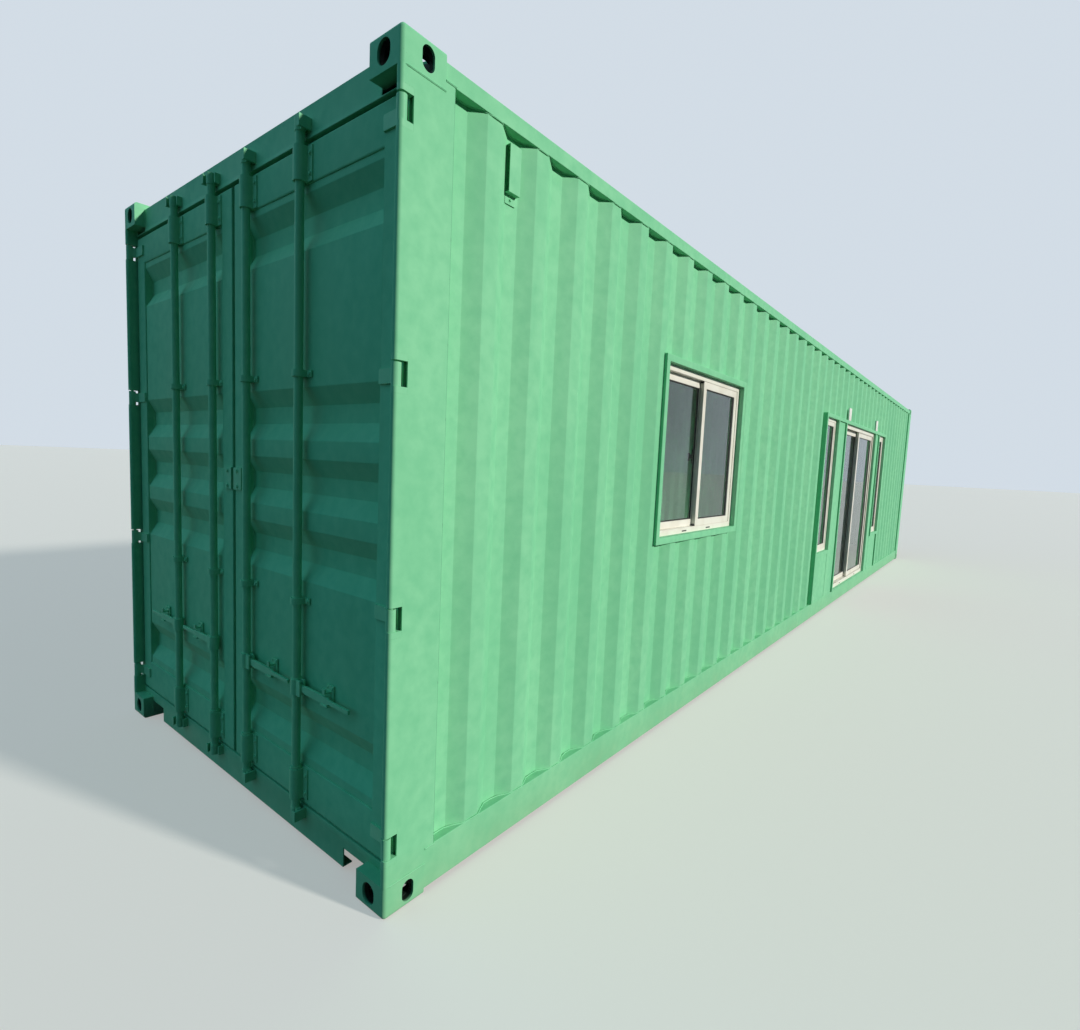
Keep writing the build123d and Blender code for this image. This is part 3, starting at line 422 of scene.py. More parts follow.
def weld_bead():
    """Lays a slightly uneven bead along a line."""
    tree, given = new_tree("weld_bead",
                           Float=["Bead Radius", "Ripple Spacing", "Ripple", "Seed"])
    line = node(tree, "GeometryNodeMeshToCurve", {"Mesh": given["Geometry"]})
    even = node(tree, "GeometryNodeResampleCurve",
                {"Curve": line.outputs[0], "Length": given["Ripple Spacing"]}, mode="LENGTH")
    ring = node(tree, "GeometryNodeCurvePrimitiveCircle",
                {"Resolution": 6, "Radius": given["Bead Radius"]})
    bead = node(tree, "GeometryNodeCurveToMesh",
                {"Curve": even.outputs[0], "Profile Curve": ring.outputs[0],
                 "Fill Caps": True})
    rough = node(tree, "ShaderNodeTexNoise", {"W": given["Seed"], "Scale": 60.0},
                 noise_dimensions="4D")
    centred = node(tree, "ShaderNodeVectorMath", {0: rough.outputs["Color"],
                                                  1: (0.5, 0.5, 0.5)}, operation="SUBTRACT")
    push = node(tree, "ShaderNodeVectorMath", {0: centred.outputs[0],
                                               "Scale": given["Ripple"]}, operation="SCALE")
    moved = node(tree, "GeometryNodeSetPosition", {"Geometry": bead.outputs[0],
                                                   "Offset": push.outputs[0]})
    return end_tree(tree, given, moved.outputs[0])


def fasteners():
    """Puts a washer and a domed or six-sided head on each point, along its facing."""
    tree, given = new_tree("fasteners", Int=["Head Sides"], Float=[
        "Head Radius", "Head Height", "Washer Radius", "Washer Height"])
    washer = node(tree, "GeometryNodeMeshCylinder",
                  {"Vertices": 14, "Radius": given["Washer Radius"],
                   "Depth": given["Washer Height"]})
    # the head narrows to 68% at its top
    head = node(tree, "GeometryNodeMeshCone",
                {"Vertices": given["Head Sides"], "Radius Bottom": given["Head Radius"],
                 "Radius Top": reckon(tree, "MULTIPLY", given["Head Radius"], 0.68),
                 "Depth": given["Head Height"]})
    facing = node(tree, "GeometryNodeInputNamedAttribute", {"Name": "facing"},
                  data_type="FLOAT_VECTOR")
    turn = node(tree, "FunctionNodeAlignRotationToVector", {"Vector": facing.outputs[0]},
                axis="Z")
    placed = node(tree, "GeometryNodeInstanceOnPoints",
                  {"Points": given["Geometry"], "Rotation": turn.outputs[0],
                   "Instance": join(tree, washer.outputs["Mesh"], head.outputs["Mesh"])})
    return end_tree(tree, given, placed.outputs[0])


def run_tree(name, base, make_tree, values, finish, body, *stands_for):
    """Runs a tree on a mesh and dresses the plain, closed object that it makes."""
    values["Material"] = material(finish)
    holder = bpy.data.objects.new(name + "_base", base)
    bpy.context.scene.collection.objects.link(holder)
    modifier = holder.modifiers.new("build", "NODES")
    modifier.node_group = bpy.data.node_groups.get(make_tree.__name__) or make_tree()
    for item in modifier.node_group.interface.items_tree:
        if item.item_type == "SOCKET" and item.in_out == "INPUT" and item.name in values:
            modifier[item.identifier] = values[item.name]
    bpy.context.view_layer.update()
    graph = bpy.context.evaluated_depsgraph_get()
    made = bpy.data.meshes.new_from_object(holder.evaluated_get(graph), depsgraph=graph)
    made.name = name
    holder.modifiers.remove(modifier)
    bpy.data.objects.remove(holder)
    if not len(made.polygons):
        raise RuntimeError(f"{name}: the tree made nothing")
    dress(tidy_mesh(name, made), finish, body, *stands_for)


def tidy_mesh(name, mesh, smooth=35):
    """Points faces outwards and shades by angle."""
    work = bmesh.new()
    work.from_mesh(mesh)
    bmesh.ops.remove_doubles(work, verts=work.verts, dist=0.000005)
    bmesh.ops.recalc_face_normals(work, faces=work.faces)
    work.to_mesh(mesh)
    work.free()
    mesh.shade_smooth()
    mesh.set_sharp_from_angle(angle=math.radians(smooth))
    made = bpy.data.objects.new(name, mesh)
    bpy.context.scene.collection.objects.link(made)
    return made


def dress(piece, finish, body, *stands_for):
    """Gives a piece its finish, the body it moves with and the nodes it stands for."""
    piece.data.materials.clear()
    piece.data.materials.append(material(finish))
    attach(piece, body)
    if stands_for:
        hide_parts(*stands_for)


def lines_mesh(name, lines):
    """Mesh of open or closed lines, each a list of points."""
    points, edges = [], []
    for line in lines:
        start = len(points)
        points += [tuple(p) for p in line]
        edges += [(start + k, start + k + 1) for k in range(len(line) - 1)]
    mesh = bpy.data.meshes.new(name)
    mesh.from_pydata(points, edges, [])
    return mesh


def points_mesh(name, points):
    """Mesh of loose points, each with the way its fastener faces."""
    mesh = bpy.data.meshes.new(name)
    mesh.from_pydata([p for p, _ in points], [], [])
    facing = mesh.attributes.new("facing", "FLOAT_VECTOR", "POINT")
    for place, (_, way) in enumerate(points):
        facing.data[place].vector = way
    return mesh


# Shapes read from the frame


BODIES = {held: body for body, nodes in frame["record"]["behaviour"]["bodies"].items()
          for held in nodes}


def merged_copy(name):
    """A CAD node's mesh with its loose triangles joined."""
    work = bmesh.new()
    work.from_mesh(frame["nodes"][name].data)
    bmesh.ops.remove_doubles(work, verts=work.verts, dist=0.00001)
    return work


def solids(name):
    """Lowest and highest corner of each separate solid of a CAD node."""
    work = merged_copy(name)
    left = set(work.verts)
    found = []
    while left:
        group = {left.pop()}
        edge = set(group)
        while edge:
            edge = {other for held in edge for link in held.link_edges
                    for other in link.verts} - group
            group |= edge
        left -= group
        spans = list(zip(*(held.co for held in group)))
        found.append((Vector([min(span) for span in spans]),
                      Vector([max(span) for span in spans])))
    work.free()
    return sorted(found, key=lambda box: tuple(round(value, 3) for value in box[0]))


def eased_copy(name, width, finish):
    """Stands in for a CAD node with its sharp edges eased by a bevel."""
    work = merged_copy(name)
    bmesh.ops.dissolve_limit(work, angle_limit=math.radians(0.6), verts=work.verts,
                             edges=work.edges)
    sharp = [edge for edge in work.edges if len(edge.link_faces) == 2
             and edge.calc_face_angle(0.0) > math.radians(32)]
    bmesh.ops.bevel(work, geom=sharp, offset=width, offset_type="OFFSET", segments=2,
                    profile=0.5, affect="EDGES", clamp_overlap=True)
    mesh = bpy.data.meshes.new(name + "_eased")
    work.to_mesh(mesh)
    work.free()
    dress(tidy_mesh(name + "_eased", mesh, smooth=20), finish, BODIES[name], name)


def add_block(shape, low, high):
    """Adds the eight corners and six faces of a block to a shape's corners and faces."""
    verts, faces = shape
    start = len(verts)
    verts += [(x, y, z) for x in (low[0], high[0]) for y in (low[1], high[1])
              for z in (low[2], high[2])]
    faces += [[start + k for k in face] for face in (
        (0, 1, 3, 2), (4, 6, 7, 5), (0, 4, 5, 1), (2, 3, 7, 6), (0, 2, 6, 4), (1, 5, 7, 3))]


def add_ring(shape, low, high, y, way, profile):
    """Adds a mitred ring inside a box's outline, from pairs of inset and height off y."""
    verts, faces = shape
    start = len(verts)
    for x, z, sx, sz in ((low.x, low.z, 1, 1), (high.x, low.z, -1, 1),
                         (high.x, high.z, -1, -1), (low.x, high.z, 1, -1)):
        verts += [(x + sx * inset, y + way * out, z + sz * inset) for inset, out in profile]
    count = len(profile)
    for corner in range(4):
        for step in range(count):
            here, ahead = start + corner * count, start + (corner + 1) % 4 * count
            faces.append((here + step, here + (step + 1) % count,
                          ahead + (step + 1) % count, ahead + step))


def built(name, shape, finish, body, bevel, *stands_for):
    """Makes a piece from its corners and faces, its edges eased by the bevel's width."""
    mesh = bpy.data.meshes.new(name)
    mesh.from_pydata(shape[0], [], shape[1])
    if bevel:
        work = bmesh.new()
        work.from_mesh(mesh)
        bmesh.ops.bevel(work, geom=work.edges, offset=bevel, offset_type="OFFSET", segments=2,
                        profile=0.5, affect="EDGES", clamp_overlap=True)
        work.to_mesh(mesh)
        work.free()
    dress(tidy_mesh(name, mesh), finish, body, *stands_for)


# Folded sheets


def depth_at(line, place):
    """Depth of a fold line at a place along it."""
    for (a, da), (b, db) in zip(line, line[1:]):
        if a <= place <= b:
            return da + (db - da) * (place - a) / (b - a)
    return 0.0


def pitch_of(fold):
    """Width of a trough, its two slopes and the flat beside it."""
    return fold["floor"] + fold["flat"] + 2 * fold["slope"]


def fold_line(centres, fold, start, end):
    """Places along a folded sheet with their depth, cut to start and end."""
    floor = fold["floor"] / 2
    mouth = floor + fold["slope"]
    line = []
    for centre in sorted(centres):
        line += [(centre - mouth, 0.0), (centre - floor, fold["depth"]),
                 (centre + floor, fold["depth"]), (centre + mouth, 0.0)]
    inner = [p for p in line if start + 1e-6 < p[0] < end - 1e-6]
    return [(start, depth_at(line, start))] + inner + [(end, depth_at(line, end))]


def side_fold(start, end):
    """Fold line of the long walls from start to end."""
    centres = [TROUGH_START + pitch_of(SIDE) * k for k in range(44)]
    return fold_line(centres, SIDE, start, end)


def blind_fold():
    """The blind end's box and its fold line, with a trough in the middle."""
    low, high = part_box("blind_end_wall")
    reach = int(high.y / pitch_of(BLIND))
    centres = [pitch_of(BLIND) * k for k in range(-reach, reach + 1)]
    return low, high, fold_line(centres, BLIND, low.y, high.y)


def roof_fold():
    """The roof's box and its fold line, with what is left over shared by both ends."""
    low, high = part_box("roof_panel")
    pitch = pitch_of(ROOF)
    count = int((high.x - low.x) / pitch)
    spare = (high.x - low.x) - count * pitch
    centres = [low.x + spare / 2 + pitch * (k + 0.5) for k in range(count)]
    return low, high, fold_line(centres, ROOF, low.x, high.x)


def door_fold(side):
    """A cargo door panel's box and its fold line, up the door."""
    low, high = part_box(side + "_cargo_door_panel")
    return low, high, fold_line(DOOR_RECESSES, SIDE, low.z, high.z)


def sheet_piece(name, line, across, body, stands_for):
    """Rolls a sheet along a line, runs it out across and puts it in its node's place."""
    sizes = bpy.context.scene.container_sheets
    run_tree(name, lines_mesh(name, [line]), folded_sheet,
             {"Bend Radius": sizes.bend_radius, "Bend Steps": sizes.bend_steps,
              "Across": across, "Thickness": sizes.thickness},
             "sheet_paint", body, stands_for)


class CONTAINER_OT_side_sheets(bpy.types.Operator):
    """Rolls the folded sheets of both long walls"""
    bl_idname = "container.side_sheets"
    bl_label = "Side Sheets"

    def execute(self, context):
        thick = context.scene.container_sheets.thickness
        for name in ("front_wall_door_end", "front_wall_over_window",
                     "front_wall_under_window", "front_wall_middle", "front_wall_over_bay",
                     "front_wall_blind_end", "rear_wall"):
            low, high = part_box(name)
            line = side_fold(low.x, high.x)
            if name == "rear_wall":
                points = [(x, WALL_FACE - d - thick, low.z) for x, d in reversed(line)]
            else:
                points = [(x, -WALL_FACE + d + thick, low.z) for x, d in line]
            sheet_piece(name + "_sheet", points, (0, 0, high.z - low.z), "container", name)
        return {"FINISHED"}


class CONTAINER_OT_end_and_roof_sheets(bpy.types.Operator):
    """Rolls the blind end and the roof"""
    bl_idname = "container.end_and_roof_sheets"
    bl_label = "End and Roof Sheets"

    def execute(self, context):
        thick = context.scene.container_sheets.thickness
        low, high, line = blind_fold()
        points = [(high.x - d - thick, y, low.z) for y, d in line]
        sheet_piece("blind_end_sheet", points, (0, 0, high.z - low.z), "container",
                    "blind_end_wall")
        low, high, line = roof_fold()
        points = [(x, low.y, high.z - d - thick) for x, d in line]
        sheet_piece("roof_sheet", points, (0, high.y - low.y, 0), "container", "roof_panel")
        return {"FINISHED"}


class CONTAINER_OT_cargo_door_panels(bpy.types.Operator):
    """Presses the recesses of both cargo door panels"""
    bl_idname = "container.cargo_door_panels"
    bl_label = "Cargo Door Panels"

    def execute(self, context):
        thick = context.scene.container_sheets.thickness
        for side, _ in SIDES:
            low, high, line = door_fold(side)
            points = [(low.x + d + thick, low.y, z) for z, d in line]
            name = side + "_cargo_door_panel"
            sheet_piece(name + "_sheet", points, (0, high.y - low.y, 0),
                        side + "_cargo_door", name)
        return {"FINISHED"}


# Welds and fasteners


def upright(x, y, foot, head):
    return [(x, y, foot), (x, y, head)]


def level(x0, x1, y, z):
    return [(x0, y, z), (x1, y, z)]


def corner_lines():
    """Lines where the castings, posts and rails are welded together, inside the envelope."""
    lines = []
    for side in (-1, 1):
        for end in (-1, 1):
            inner = end * CASTING_INNER
            if side < 0:
                # only here the surrounds leave room in the box for a bead on a face
                for z in CASTING_EDGES:
                    lines.append([(inner, -POST_FACE, z)]
                                 + [(end * x, -y, z) for x, y in CASTING_CORNER])
                for z in (SHEET_FOOT, SHEET_HEAD):
                    lines.append(level(inner, end * (WALL_END + 0.002), -POST_FACE, z))
            # up the ends of the side rails
            for foot, head in (0.019, 0.173), (2.813, 2.869):
                lines.append(upright(inner, side * RAIL_FACE, foot, head))
        for foot, head in (0.019, 0.072), (2.780, 2.869):
            # where the header and the sill meet the castings
            lines.append(upright(-6.0465, side * 1.057, foot, head))
    return lines


def surround_lines():
    """Lines where the steel surrounds meet the folded sheets and the infill plates."""
    wall = side_fold(-WALL_END, WALL_END)

    def at(x, z):
        return (x, -WALL_FACE + depth_at(wall, x) + 0.001, z)

    lines = []
    for x0, x1, z0, z1 in (WINDOW, BAY):
        lines += [[at(x, z0), at(x, z1)] for x in (x0, x1)]
        # the bay stands on the rail, so it has no bead along its foot
        lines += [[at(x, z) for x, _ in side_fold(x0, x1)] for z in (z0, z1) if z > BAY[2]]
    for x0, x1 in PLATES:
        lines.append(level(x0, x1, -WALL_FACE, PLATE_HEAD))
        lines += [upright(x, -WALL_FACE, BAY[2], PLATE_HEAD) for x in (x0, x1)]
    for x0, x1 in TALL_WINDOWS:
        lines.append(level(x0, x1, -WALL_FACE, TALL_SILL))
    return lines


def hoop(x, y, z, radius):
    """A closed line of 16 steps round an upright bar."""
    return [(x + radius * math.cos(math.tau * k / 16),
             y + radius * math.sin(math.tau * k / 16), z) for k in range(17)]


class CONTAINER_OT_weld_beads(bpy.types.Operator):
    """Lays the weld beads of the corners, sheets, surrounds, door panels and locking bars"""
    bl_idname = "container.weld_beads"
    bl_label = "Weld Beads"

    def lay(self, name, lines, body, radius, spacing, finish="frame_paint"):
        sizes = {"Bead Radius": radius, "Ripple Spacing": spacing, "Ripple": 0.0012, "Seed": 3.0}
        run_tree(name, lines_mesh(name, lines), weld_bead, sizes, finish, body)

    def execute(self, context):
        skin = context.scene.container_sheets.thickness / 2
        lines = []
        for x0, x1, z in ((-WALL_END, WINDOW[0], SHEET_FOOT), (*WINDOW[:2], SHEET_FOOT),
                          (WINDOW[1], BAY[0], SHEET_FOOT), (BAY[1], WALL_END, SHEET_FOOT),
                          (-WALL_END, WALL_END, SHEET_HEAD)):
            lines.append([(x, -WALL_FACE + d - skin, z) for x, d in side_fold(x0, x1)])
        wall = side_fold(-WALL_END, WALL_END)
        for z in (SHEET_FOOT, SHEET_HEAD):
            lines.append([(x, WALL_FACE - d + skin, z) for x, d in wall])
        for x in (-WALL_END, WALL_END):
            for side in (-1, 1):
                y = side * (WALL_FACE + 0.002 - depth_at(wall, x))
                lines.append(upright(x, y, SHEET_FOOT, SHEET_HEAD))
        self.lay("side_weld_beads", lines, "container", 0.0032, 0.04)
        # a thin darker bead on the bend of each cargo-door post: painted shade for the dark seam
        # line there
        seams = [upright(POST_BEND[0], side * POST_BEND[1], SHEET_FOOT + 0.003,
                         SHEET_HEAD - 0.003) for side in (-1, 1)]
        self.lay("post_seam_shade_beads", seams, "container", 0.0018, 0.04, "seal_paint_and_seam_shade")
        self.lay("corner_weld_beads", corner_lines(), "container", 0.0040, 0.022)
        self.lay("surround_weld_beads", surround_lines(), "container", 0.0028, 0.03)

        low, high, fold = blind_fold()
        lines = [[(high.x - d + skin, y, z) for y, d in fold] for z in (low.z, high.z)]
        lines += [upright(high.x - fold[0][1], y, low.z, high.z) for y in (low.y, high.y)]
        low, high, fold = roof_fold()
        lines += [[(x, y, high.z - d) for x, d in fold] for y in (low.y, high.y)]
        lines += [[(x, low.y, high.z), (x, high.y, high.z)] for x in (low.x, high.x)]
        self.lay("end_and_roof_weld_beads", lines, "container", 0.0032, 0.04)

        for side, sign in SIDES:
            low, high, fold = door_fold(side)
            lines = [[(low.x + d, y, z) for z, d in fold] for y in (low.y, high.y)]
            lines += [[(low.x, low.y, z), (low.x, high.y, z)] for z in (low.z, high.z)]
            for low, high in solids(side + "_cargo_door_hinges"):
                # 50 mm long, 3 mm over the blade's middle
                middle = (low.z + high.z) / 2 + 0.003
                lines.append(upright(-6.0485, sign * 1.0795, middle - 0.025, middle + 0.025))
            self.lay(side + "_door_weld_beads", lines, side + "_cargo_door", 0.003, 0.02)
            for bar, y in BARS:
                low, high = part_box(f"{side}_{bar}_locking_bar")
                # at both cams, and over and under the handle's hub
                rings = [hoop(BAR_X, sign * y, z, 0.0175) for z in
                         (low.z + 0.049, 0.625, 0.691, high.z - 0.049)]
                self.lay(f"{side}_{bar}_bar_weld_beads", rings, f"{side}_{bar}_bar",
                         0.0022, 0.008, "gear_paint")
        return {"FINISHED"}


def bolts(name, points, body, finish="gear_paint", head_radius=0.009, head_height=0.006,
          head_sides=12, washer_radius=0.013, washer_height=0.0015):
    """Sets a fastener on each point, from pairs of a place and the way it faces."""
    sizes = {"Head Radius": head_radius, "Head Height": head_height, "Head Sides": head_sides,
             "Washer Radius": washer_radius, "Washer Height": washer_height}
    run_tree(name, points_mesh(name, points), fasteners, sizes, finish, body)


class CONTAINER_OT_fasteners(bpy.types.Operator):
    """Sets the bolts of the locking gear, the vent covers and the floor screws"""
    bl_idname = "container.fasteners"
    bl_label = "Fasteners"

    def door_points(self, side):
        """Bolts of the guides and the seam plate, and rivets of the handle catches."""
        out = (-1, 0, 0)
        points, rivets = [], []
        for low, high in solids(side + "_cargo_door_fittings"):
            middle = (low + high) / 2
            wide, tall = high.y - low.y, high.z - low.z
            if wide > 0.1:
                # a guide, with two rows of bolts where it holds a bar's end
                end_guide = tall > 0.1
                face = DOOR_FACE - 0.0040 if end_guide else DOOR_FACE
                rows = (low.z + 0.027, high.z - 0.027) if end_guide else (middle.z,)
                points += [((face, middle.y + dy, z), out) for z in rows
                           for dy in (-0.043, 0.043)]
            elif wide > 0.06:
                points += [((DOOR_FACE - 0.0070, middle.y, middle.z + dz), out)
                           for dz in (-0.034, 0.034)]
            else:
                rivets += [((DOOR_FACE, middle.y + dy, high.z - 0.010), out)
                           for dy in (-0.016, 0.016)]
        return points, rivets

    def execute(self, context):
        for side, _ in SIDES:
            points, rivets = self.door_points(side)
            bolts(side + "_door_bolts", points, side + "_cargo_door")
            bolts(side + "_catch_rivets", rivets, side + "_cargo_door", head_radius=0.005,
                  head_height=0.004, washer_radius=0.007)
        points = []
        for low, high in solids("hinge_pins"):
            y = math.copysign(PIN_Y, low.y)
            points += [((PIN_X, y, high.z), (0, 0, 1)), ((PIN_X, y, low.z), (0, 0, -1))]
        bolts("hinge_pin_heads", points, "container", head_radius=0.0075, head_height=0.005,
              washer_radius=0.009)
        points = [((-5.549, sign * 1.178, 2.582), (0, sign, 0)) for sign in (-1, 1)]
        bolts("vent_screws", points, "container", head_radius=0.006, washer_radius=0.009)
        # twelve screws over each cross member, 20 mm past its middle
        start, end, members = -5.768, 5.768, 39
        points = [((start + (end - start) * k / (members - 1) + 0.02, -1.1 + 2.2 * row / 11,
                    0.1751), (0, 0, 1)) for k in range(members) for row in range(12)]
        bolts("floor_screws", points, "container", "zinc", head_radius=0.004,
              head_height=0.0008, head_sides=6, washer_radius=0.006, washer_height=0.0006)
        return {"FINISHED"}


# Glazing


class CONTAINER_OT_glazing(bpy.types.Operator):
    """Seals every pane, and fits the window's latch, drain slots and brush blocks"""
    bl_idname = "container.glazing"
    bl_label = "Glazing"

    def execute(self, context):
        # a wedge seal 7 mm wide that stands 4 mm off the glass
        profile = ((0.0, 0.0), (0.0, 0.0040), (0.0025, 0.0045), (0.0070, 0.0010), (0.0070, 0.0))
        for name, body in (("window_glass", "container"),
                           ("right_glazed_leaf_glass", "right_glazed_leaf"),
                           ("left_glazed_leaf_glass", "left_glazed_leaf")):
            seals = [], []
            for low, high in solids(name):
                add_ring(seals, low, high, low.y, -1, profile)
                add_ring(seals, low, high, high.y, 1, profile)
            built(name.replace("glass", "seals"), seals, "glazing_rubber", body, 0.0)

        # drain slots in the sills, 66 mm long, their covers 1 mm proud
        fittings = [], []
        for x, y, z in ((-3.824, -1.194, 1.204), (-3.448, -1.194, 1.204),
                        (1.000, -1.198, 0.208), (1.920, -1.198, 0.208)):
            add_block(fittings, (x - 0.033, y - 0.0010, z - 0.0042),
                      (x + 0.033, y + 0.0020, z + 0.0042))
        # brush blocks at the foot and head of the meeting stile
        for z in (1.2245, 2.1435):
            add_block(fittings, (-3.6660, -1.1895, z), (-3.6585, -1.1665, z + 0.012))
        built("sill_slots_and_blocks", fittings, "black_plastic", "container", 0.0008)

        # latch on the room side of the inner sash, seen through the glass: plate, hub, lever
        latch = [], []
        for low, high in (((-3.6560, -1.1380, 1.6300), (-3.6280, -1.1300, 1.7220)),
                          ((-3.6700, -1.1300, 1.6620), (-3.6340, -1.1200, 1.6880)),
                          ((-3.6700, -1.1200, 1.6450), (-3.6560, -1.1120, 1.6980))):
            add_block(latch, low, high)
        built("window_latch", latch, "black_plastic", "container", 0.0020)
        return {"FINISHED"}


class CONTAINER_OT_wall_boxes(bpy.types.Operator):
    """Builds the two white boxes over the glazed door, each a base with a cover"""
    bl_idname = "container.wall_boxes"
    bl_label = "Wall Boxes"

    def execute(self, context):
        shells, screws = ([], []), []
        for low, high in solids("wall_boxes"):
            # the cover's back edge, and how far a screw stands in from the cover's sides
            seam, inset = low.y + 0.010, 0.014
            add_block(shells, (low.x + 0.002, seam + 0.0005, low.z),
                      (high.x - 0.002, high.y, high.z - 0.002))
            add_block(shells, (low.x, low.y + 0.0015, low.z + 0.0005), (high.x, seam, high.z))
            screws += [((x, low.y + 0.0015, z), (0, -1, 0))
                       for x in (low.x + inset, high.x - inset)
                       for z in (low.z + inset, high.z - inset)]
        built("wall_box_shells", shells, "white_plastic", "container", 0.0030, "wall_boxes")
        bolts("wall_box_screws", screws, "container", "white_plastic", head_radius=0.004,
              head_height=0.0012, washer_radius=0.0055, washer_height=0.0008)
        return {"FINISHED"}


# CAD nodes that keep their own shape

# each finish with words in the names of its nodes, the first that fits first
NODE_FINISHES = (
    ("cast_paint", ("corner_castings",)),
    ("glass", ("glass",)),
    ("aluminium", ("window_frames", "window_sashes", "glazed_door_frame", "glazed_leaf")),
    ("seal_paint_and_seam_shade", ("gasket",)),
    ("plywood", ("floor_boards",)),
    ("white_plastic", ("wall_boxes",)),
    ("gear_paint", ("hinge", "fittings", "bar", "handle", "keepers", "vent")),
    ("frame_paint", ("",)),
)
# width of the bevel on a node's sharp edges, named without its side
EASED = {"window_frames": 0.0015, "window_sashes": 0.0020, "glazed_door_frame": 0.0015,
         "glazed_leaf": 0.0020, "window_surround": 0.0030, "door_bay_frame": 0.0030,
         "top_side_rails": 0.0040, "bottom_side_rails": 0.0040, "blind_end_rails": 0.0040,
         "door_header": 0.0030, "door_sill": 0.0030, "cam_keepers": 0.0015,
         "hinge_pins": 0.0020, "cargo_door_frame": 0.0040, "cargo_door_hinges": 0.0015,
         "cargo_door_fittings": 0.0012, "cargo_door_gasket": 0.0020, "outer_handle": 0.0020,
         "inner_handle": 0.0020}


class CONTAINER_OT_finishes(bpy.types.Operator):
    """Gives every CAD node its finish, and eases the sharp edges of the plain sections"""
    bl_idname = "container.finishes"
    bl_label = "Finishes"

    def execute(self, context):
        for name, held in frame["nodes"].items():
            finish = next(finish for finish, words in NODE_FINISHES
                          if any(word in name for word in words))
            held.data.materials.clear()
            held.data.materials.append(material(finish))
            width = EASED.get(name.removeprefix("right_").removeprefix("left_"))
            if width:
                eased_copy(name, width, finish)
        return {"FINISHED"}


# Stage


def seen_rays(tree):
    """One for rays that show the background straight, in a gloss or through glass."""
    path = node(tree, "ShaderNodeLightPath").outputs
    direct = reckon(tree, "MAXIMUM", path["Is Camera Ray"], path["Is Glossy Ray"])
    return reckon(tree, "MAXIMUM", direct, path["Is Transmission Ray"])


def stage_paper():
    """Matt paper floor, pale where it is seen and dark in the light that it returns."""
    made, tree, _ = new_material("stage_paper", Roughness=0.9, Base_Color=linear("#B8B6B2"))
    paper = tree.nodes["Principled BSDF"]
    lift = node(tree, "ShaderNodeEmission", {0: linear("#E4E2DE"), 1: 0.46})
    pale = node(tree, "ShaderNodeAddShader", {0: paper.outputs[0], 1: lift.outputs[0]})
    dim = node(tree, "ShaderNodeBsdfDiffuse", {"Color": linear("#26342F")})
    mixed = node(tree, "ShaderNodeMixShader", {0: seen_rays(tree), 1: dim.outputs[0],
                                               2: pale.outputs[0]})
    tree.links.new(mixed.outputs[0], tree.nodes["Material Output"].inputs[0])
    return made


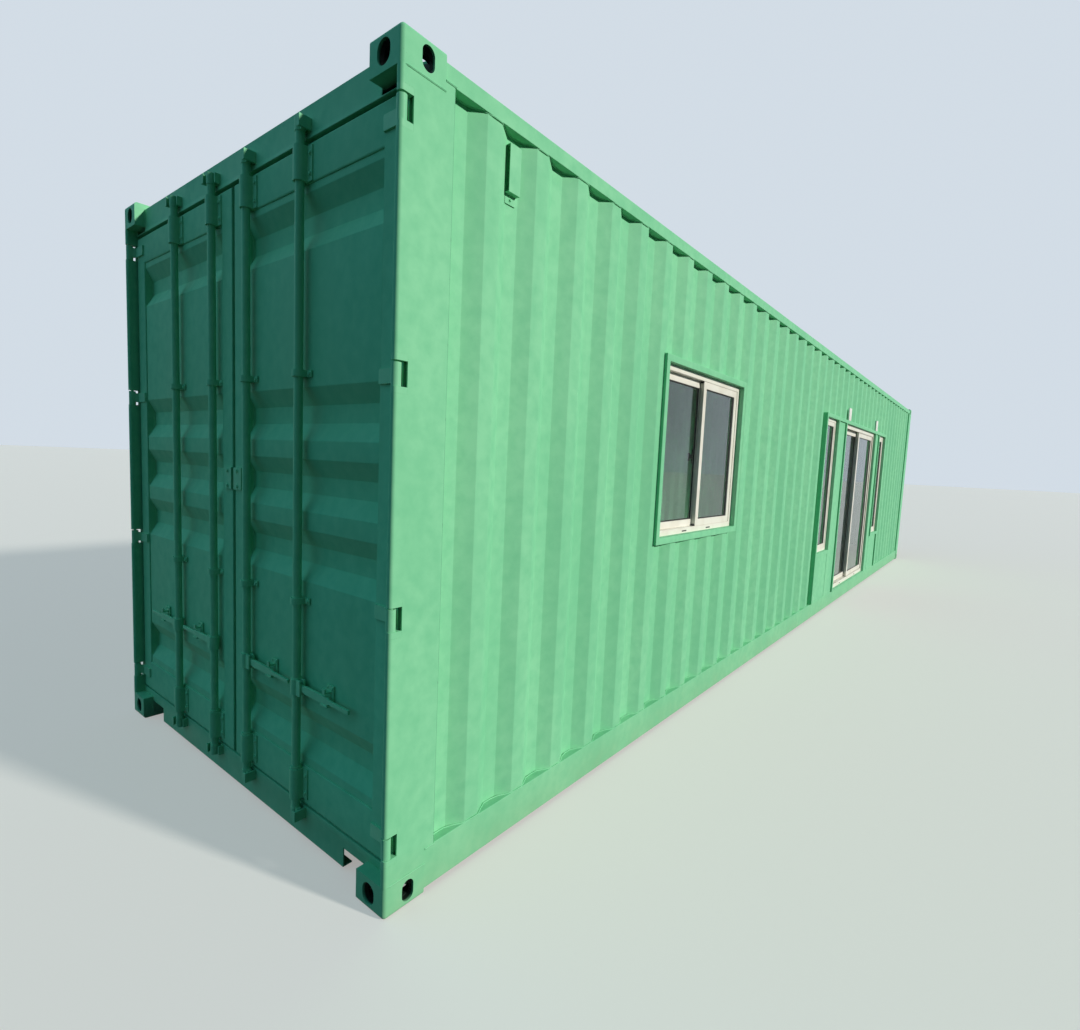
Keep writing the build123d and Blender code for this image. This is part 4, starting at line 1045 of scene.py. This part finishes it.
class CONTAINER_OT_stage(bpy.types.Operator):
    """Sets the floor, the lights and the camera"""
    bl_idname = "container.stage"
    bl_label = "Stage"

    def floor(self, scene, half=150.0):
        mesh = bpy.data.meshes.new("stage_floor")
        mesh.from_pydata([(-half, -half, 0), (half, -half, 0), (half, half, 0),
                          (-half, half, 0)], [], [(0, 1, 2, 3)])
        mesh.materials.append(stage_paper())
        held = bpy.data.objects.new("stage_floor", mesh)
        scene.collection.objects.link(held)

    def light(self, scene):
        world = bpy.data.worlds.new("studio")
        world.use_nodes = True
        scene.world = world
        tree = world.node_tree
        # a dim blue sky for the light, and a pale one where it is seen
        back = tree.nodes["Background"]
        back.inputs[0].default_value = (0.20, 0.72, 1.0, 1.0)
        back.inputs[1].default_value = 0.12
        seen = node(tree, "ShaderNodeBackground", {0: (0.72, 0.80, 0.88, 1.0), 1: 0.9})
        mixed = node(tree, "ShaderNodeMixShader", {0: seen_rays(tree), 1: back.outputs[0],
                                                   2: seen.outputs[0]})
        tree.links.new(mixed.outputs[0], tree.nodes["World Output"].inputs[0])
        # a low warm sun from the window side, and clear sky over the cargo doors
        for name, way, strength, degrees, colour in (
                ("key", (0.26, -0.90, 0.37), 3.55, 4.0, (1.0, 0.96, 0.88)),
                ("fill", (-0.60, 0.45, 0.65), 0.66, 80.0, (0.18, 0.74, 1.0))):
            lamp = bpy.data.lights.new(name, "SUN")
            lamp.energy = strength
            lamp.color = colour
            lamp.angle = math.radians(degrees)
            held = bpy.data.objects.new(name, lamp)
            held.rotation_euler = Vector(way).to_track_quat("Z", "Y").to_euler()
            scene.collection.objects.link(held)

    def camera(self, scene):
        sizes = scene.container_camera
        az, el, roll = sizes.turn
        forward = Vector((math.sin(az) * math.cos(el), math.cos(az) * math.cos(el),
                          math.sin(el)))
        right = Vector((math.cos(az), -math.sin(az), 0))
        up = right.cross(forward)
        across = math.cos(roll) * right + math.sin(roll) * up
        above = -math.sin(roll) * right + math.cos(roll) * up
        lens = bpy.data.cameras.new("photo_view")
        lens.sensor_fit = "HORIZONTAL"
        lens.sensor_width = 36.0
        lens.lens = sizes.focal
        lens.clip_end = 500.0
        held = bpy.data.objects.new("photo_view", lens)
        turn = Matrix((across, above, -forward)).transposed().to_4x4()
        held.matrix_world = Matrix.Translation(sizes.place) @ turn
        scene.collection.objects.link(held)
        scene.camera = held

    def execute(self, context):
        self.floor(context.scene)
        self.light(context.scene)
        self.camera(context.scene)
        context.scene.view_settings.view_transform = "Standard"
        return {"FINISHED"}


class CONTAINER_PT_panel(bpy.types.Panel):
    """Lists the container's sizes and pieces"""
    bl_idname = "CONTAINER_PT_panel"
    bl_label = "Shipping Container Cabin"
    bl_space_type = "VIEW_3D"
    bl_region_type = "UI"
    bl_category = "Container"

    def draw(self, context):
        for held in SETTINGS:
            box = self.layout.box()
            group = getattr(context.scene, held)
            for name in group.__annotations__:
                box.prop(group, name)
        for operator in OPERATORS:
            self.layout.operator(operator.bl_idname)


OPERATORS = (
    CONTAINER_OT_finishes,
    CONTAINER_OT_side_sheets,
    CONTAINER_OT_end_and_roof_sheets,
    CONTAINER_OT_cargo_door_panels,
    CONTAINER_OT_weld_beads,
    CONTAINER_OT_fasteners,
    CONTAINER_OT_glazing,
    CONTAINER_OT_wall_boxes,
    CONTAINER_OT_stage,
)
SETTINGS = {"container_sheets": SheetSettings, "container_paint": PaintSettings,
            "container_camera": CameraSettings}
CLASSES = (*SETTINGS.values(), *OPERATORS, CONTAINER_PT_panel)


def register():
    for made in CLASSES:
        bpy.utils.register_class(made)
    for name, group in SETTINGS.items():
        setattr(bpy.types.Scene, name, bpy.props.PointerProperty(type=group))


def unregister():
    for name in SETTINGS:
        delattr(bpy.types.Scene, name)
    for made in reversed(CLASSES):
        bpy.utils.unregister_class(made)


def main():
    register()
    for operator in OPERATORS:
        group, name = operator.bl_idname.split(".")
        getattr(getattr(bpy.ops, group), name)()


if __name__ == "__main__":
    main()
